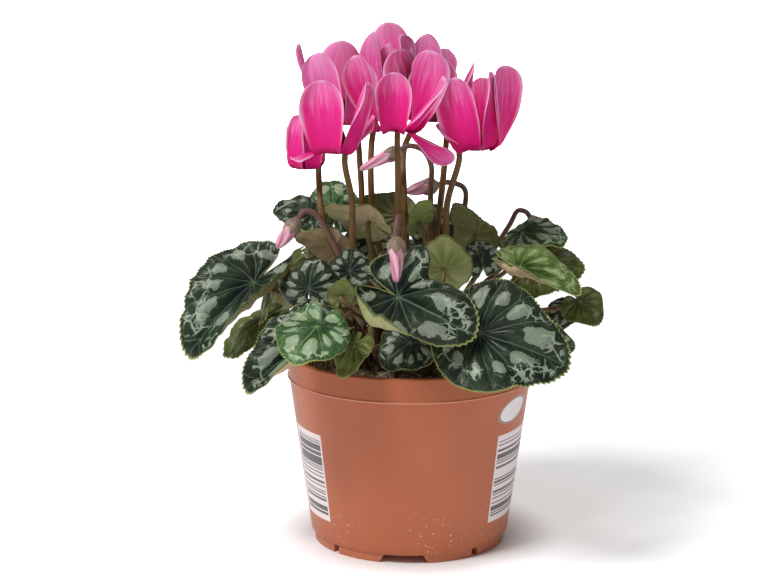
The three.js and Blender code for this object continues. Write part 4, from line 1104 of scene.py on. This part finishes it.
def petalRise(petal, across, share, half, shift):
    # how far a petal stands out of its plane: cupped, fluted lengthwise, waved and rolled at its edges
    s = petalRelief
    rise = petal["cup"] * half * across ** 2
    flutes = np.cos(across * s["fluteCount"] + shift[0]) * np.sin(math.pi * np.minimum(share, 1))
    rise += s["flutes"] * flutes * half
    rise += s["margin"] * across ** 4 * np.sin(share * 9 + shift[1] + np.sign(across) * 2) * share
    rise += s["rolledEdge"] * half * np.abs(across) ** 7 * np.minimum(1, share * 2)
    return rise + s["sway"] * np.sin(share * 6 + shift[2]) * np.sin(across * 3 + shift[3]) * share


def petalMesh(flower, petal, number):
    s = bloomSettings
    mouth, axis, front = bloomPlace(flower)
    azimuth = math.radians(petal["azimuth"])
    outward = front * math.cos(azimuth) + cross(axis, front) * math.sin(azimuth)
    sideways = cross(axis, outward)
    shares = 0.02 + 0.978 * np.linspace(0, 1, s["along"]) ** 0.85
    shares = np.concatenate([shares[:-1], [0.992, 0.9985]])
    place = np.sin(np.linspace(-math.pi / 2, math.pi / 2, s["across"] + 1))
    across, share = np.meshgrid(place, shares)

    def slopeAt(at):
        flare = (s["flare"] - petal["lean"]) * np.maximum(0, 1 - at / s["flareEnd"])
        return np.radians(petal["lean"] + petal["curl"] * at + flare)

    forward, above = np.full_like(share, -1.5), np.zeros_like(share)
    step = petal["length"] * share / s["bendSteps"]
    for i in range(s["bendSteps"]):
        slope = slopeAt(share * (i + 0.5) / s["bendSteps"])
        forward += np.sin(slope) * step
        above += np.cos(slope) * step
    slope, twist = slopeAt(share)[..., None], np.radians(petal["twist"] * share)[..., None]
    normal = outward * np.cos(slope) - axis * np.sin(slope)
    wide = sideways * np.cos(twist) + normal * np.sin(twist)
    face = normal * np.cos(twist) - sideways * np.sin(twist)
    half = petalHalfWidth(share) * petal["width"] / 2
    random = np.random.default_rng(abs(petal["azimuth"]) + 7 * number + len(flower["name"]))
    rise = petalRise(petal, across, share, half, random.uniform(0, 6.28, 4))
    offset = outward * forward[..., None] + axis * above[..., None]
    offset = offset + wide * (half * across)[..., None] + face * rise[..., None]
    sway = math.radians(petal["sway"])
    along = (offset @ outward)[..., None] * outward
    offset = along + (offset - along) * math.cos(sway) + np.cross(outward, offset) * math.sin(sway)
    middle = mouth + outward * s["ringRadius"] + offset

    thinner = (1 - 0.55 * np.abs(across) ** 6) * (1 - 0.5 * share ** 8)
    out = normals(middle) * s["thickness"] / 2 * thinner[..., None]
    rings = np.concatenate([middle + out, (middle - out)[:, ::-1]], axis=1)
    chart = np.stack([across * 0.4999 + 0.5 + 2 * number, share], -1)
    charts = np.concatenate([chart, chart[:, ::-1], chart[:, :1]], axis=1)
    charts = np.concatenate([charts[:1], charts, charts[-1:]])
    first, final = [np.tile(middle[row, s["across"] // 2], (1, rings.shape[1], 1)) for row in (0, -1)]
    return ringMesh(list(np.concatenate([first, rings, final])), charts)


def turnedRings(place, profile, sides, lobes=0, depth=0.0, twist=0.0):
    # rings of a round form about a place's axis, with lobes that may wind round it
    turns = turnsOf(sides)
    rings = []
    for radius, height in profile:
        wave = 1 + depth * np.cos(lobes * turns + twist * height / profile[-1][1])
        rings.append(ring(place, radius * wave, height, turns))
    turn, share = np.meshgrid(np.linspace(0, 1, sides + 1), np.linspace(0, 1, len(profile)))
    return rings, np.stack([turn, share], -1)


def smoothProfile(points, steps=4):
    # a profile through points with the ends kept on the axis
    path = smoothPath([(x, 0, z) for x, z in points], steps)
    path = [(max(0.0, p[0]), p[2]) for p in path]
    return [(0.0, path[0][1])] + path[1:-1] + [(0.0, path[-1][1])]


def sepalMesh(place, rise):
    # a small cup with five pointed sepals, from its middle outwards and back underneath
    s = sepalSettings
    turns = turnsOf(s["sides"])
    point = s["inner"] + s["length"] * np.abs(np.cos(2.5 * turns)) ** 1.4
    rings = []
    for lift, shares in ((0.0, np.linspace(0, 1, 9)), (0.35, np.linspace(1, 0, 9))):
        for share in shares:
            fall = s["droop"] * (share * point / (s["inner"] + s["length"])) ** 1.7
            rings.append(ring(place, share * point, rise - fall + lift, turns))
    return outwards(ringMesh(rings))


def makeFlower(flower, foot):
    s = bloomSettings
    flower = {**flower, "mouth": np.array(flower["mouth"], float)}
    place = bloomPlace(flower)
    mouth, axis, front = place
    tall, outer, tube = s["tubeHeight"], s["ringRadius"], s["tubeRadius"]
    profile = [
        (0, tall - 2), (outer - 3.4, 0.4), (outer - 2.8, -0.8), (outer - 1.6, -1.1), (outer - 0.3, -0.9),
        (outer, 0), (outer - 0.1, 1), (tube + 0.7, tall - 2.6), (tube - 0.2, tall - 1),
        (tube * 0.5, tall - 0.15), (0, tall)]
    rings, charts = turnedRings(place, profile, sides=60, lobes=5, depth=0.035)
    # the mouth ring is coloured like the foot of a petal
    charts[..., 1] = 0.01 + 0.09 * charts[..., 1]
    charts[..., 0] = 0.5
    meshes = [ringMesh(rings, charts)]
    for number, row in enumerate(flower["petals"]):
        petal = {**petalDefaults, **dict(zip(petalColumns, row))}
        meshes.append(petalMesh(flower, petal, number))
    skin = petalSkins[bloomLooks.get(flower["name"], "pink")]
    makeNode("bloom_" + flower["name"], outwards(joined(meshes)), [skin], "petal")

    top = tall + 0.3
    path = [foot, aboveHole(foot), *flower["via"]]
    for forward, above in (*s["hook"], (0, top + 2)):
        path.append(mouth + front * forward + axis * above)
    stalk = stalkMesh(path, *stalkSettings["scape"], scapeSkin, sides=16, steps=8)
    neck = smoothProfile([(0, top + 3), (1.5, top + 2.8), (1.9, top + 1.4), (2.5, top + 0.3), (0, top + 0.1)])
    neck = outwards(ringMesh(*turnedRings(place, neck[::-1], sides=24)))
    whole = joined([stalk, sepalMesh(place, top), neck], [0, 1, 1])
    makeNode("scape_" + flower["name"], whole, [scapeSkin, sepalSkin], "scape")


# Buds: each by the route of its stalk above the tuber, and its size

cupSettings = {
    "foot": -1.2, "body": 5.2, "lobes": 3.4, "swell": 0.7, "taper": 0.035, "taperFrom": 4, "ribs": 0.05,
    "sides": 70,
}
buds = [
    dict(name="left", calyx=4.2, length=17, stalk=1.6, ring="inner",
        path=((-32, -15, 140), (-41, -15, 158), (-46, -16, 165), (-51, -17, 166), (-54, -18, 162))),
    dict(name="centre", calyx=4.4, length=21, stalk=1.5, ring="inner",
        path=((-6, -44, 159), (-6, -50, 169), (-7, -54, 165), (-7, -55, 160))),
    dict(name="arched", calyx=3.8, length=22, stalk=1.5, ring="inner",
        path=((10, 6, 172), (10, 2, 186), (6, 2, 193), (-1, 2, 195), (-5, 2, 193))),
    dict(name="dark", calyx=4.4, length=17, stalk=1.5, ring="middle",
        path=((28, 42, 158), (27, 33, 170), (19, 30, 173), (14, 29, 172))),
    dict(name="right", calyx=3.6, length=12, stalk=1.4, ring="middle",
        path=((51, 40, 150), (55, 40, 157), (59, 39, 156.5), (61, 38.5, 154))),
]


def cupMesh(place, calyx):
    # a bud's calyx with five lobes, up its outside and down inside
    s = cupSettings
    turns = turnsOf(s["sides"])
    lobe = np.abs(np.cos(2.5 * turns)) ** 1.2
    rings = []
    for swell, shares in ((0.0, np.linspace(0, 1, 14)), (-0.35, np.linspace(1, 0.1, 12))):
        for share in shares:
            height = s["foot"] + share * (s["body"] + s["lobes"] * lobe)
            dome = np.sin(np.minimum((height - s["foot"]) / s["body"], 1) * math.pi / 2)
            reach = calyx * np.clip(dome, 0, 1) ** s["swell"]
            reach = reach * (1 - s["taper"] * np.maximum(height - s["taperFrom"], 0)) + swell
            reach = np.maximum(reach, 0.02) * (1 + s["ribs"] * np.cos(5 * turns))
            rings.append(ring(place, reach, height, turns))
    return outwards(ringMesh(rings))


def frontOf(axis):
    return unit(cross(axis, (0.3, 0.9, 0.2)))


def makeBud(bud, foot):
    path = [np.array(point, float) for point in bud["path"]]
    calyx, length, radius = bud["calyx"], bud["length"], bud["stalk"]
    axis = unit(path[-1] - path[-2])
    place = (path[-1], axis, frontOf(axis))
    path = [foot, aboveHole(foot), *path]
    stalk = stalkMesh(path, radius, radius * 0.9, budStalkSkin, sides=12, steps=7)
    petals = smoothProfile([
        (0, 1), (calyx * 0.8, 3), (calyx * 0.84, 6), (calyx * 0.74, 8.5),
        (calyx * 0.66, 8 + (length - 8) * 0.35), (calyx * 0.5, 8 + (length - 8) * 0.65),
        (calyx * 0.3, length - 1.2), (0, length)])
    rings, charts = turnedRings(place, petals, sides=60, lobes=5, depth=0.13, twist=3.4)
    furled = outwards(ringMesh(rings, charts))
    whole = joined([stalk, furled, cupMesh(place, calyx)], [0, 1, 2])
    makeNode("bud_" + bud["name"], whole, [budStalkSkin, furledPetals, budCalyxSkin], "bud")


# Young leaves, still furled, each midway between two of the outer stalks

shootSettings = {
    "radius": 24.5, "foot": 85.0, "tall": (14, 22), "tallerBehind": 4, "lean": (8, 22), "sway": (-12, 12),
    "stalk": 0.95, "seed": 18, "furled": [(0, -1), (1.2, 0.5), (1.9, 3.5), (1.6, 6.5), (0, 11)],
}


def makeShoots(angles):
    s = shootSettings
    random = np.random.default_rng(s["seed"])
    meshes = []
    for angle in angles:
        tall = random.uniform(*s["tall"]) + s["tallerBehind"] * max(0, math.sin(angle))
        lean = math.radians(random.uniform(*s["lean"]))
        sway = math.radians(random.uniform(*s["sway"]))
        outward = np.array((math.cos(angle), math.sin(angle), 0))
        foot = outward * s["radius"] + (0, 0, s["foot"])
        axis = unit(outward * math.sin(lean) + cross((0, 0, 1), outward) * math.sin(sway) + (0, 0, 1))
        middle = foot + (0, 0, tall / 2) + outward * tall * math.sin(lean) * 0.3
        top = foot + axis * tall
        path = [foot, middle, top]
        meshes.append(stalkMesh(path, s["stalk"], s["stalk"] * 0.8, petioleSkin, sides=8, steps=4))
        place = (top, axis, frontOf(axis))
        rings, charts = turnedRings(place, smoothProfile(s["furled"]), sides=20)
        meshes.append(outwards(ringMesh(rings, charts)))
    makePiece("youngLeaves", joined(meshes, [0, 1] * len(angles)), [petioleSkin, unders["olive"]], "leaf")


# Every ring's stalks take evenly spaced holes in the tuber, in order round the crown

def plantAll():
    planted = [(makeFlower, flower, flower["mouth"]) for flower in flowers]
    planted += [(makeBud, bud, bud["path"][0]) for bud in buds]
    for name, at, tip, roll, width, others in leaves:
        leaf = {**leafDefaults, "name": name, "roll": roll, "width": width, **others}
        leaf.update(at=np.array(at, float), tip=np.array(tip, float))
        planted.append((makeLeaf, leaf, at))
    stalks = [{"make": make, "row": row, "heading": math.atan2(to[1], to[0])} for make, row, to in planted]
    stalks.sort(key=lambda stalk: stalk["heading"])
    for name, radius in crownRings.items():
        members = [stalk for stalk in stalks if stalk["row"]["ring"] == name]
        pitch = fullTurn / len(members)
        offset = sum(stalk["heading"] - i * pitch for i, stalk in enumerate(members)) / len(members)
        height = stalkSettings["tuberTop"] - stalkSettings["holeDepth"]
        height -= (radius / stalkSettings["tuberRadius"]) ** 2 * stalkSettings["tuberFall"]
        for i, stalk in enumerate(members):
            angle = offset + i * pitch
            stalk["foot"] = np.array((radius * math.cos(angle), radius * math.sin(angle), height))
        if name == "outer":
            makeShoots([offset + (i + 0.5) * pitch for i in range(len(members))])
    for stalk in stalks:
        stalk["make"](stalk["row"], stalk["foot"])


plantAll()
print("stage 5: leaves, flowers and buds")
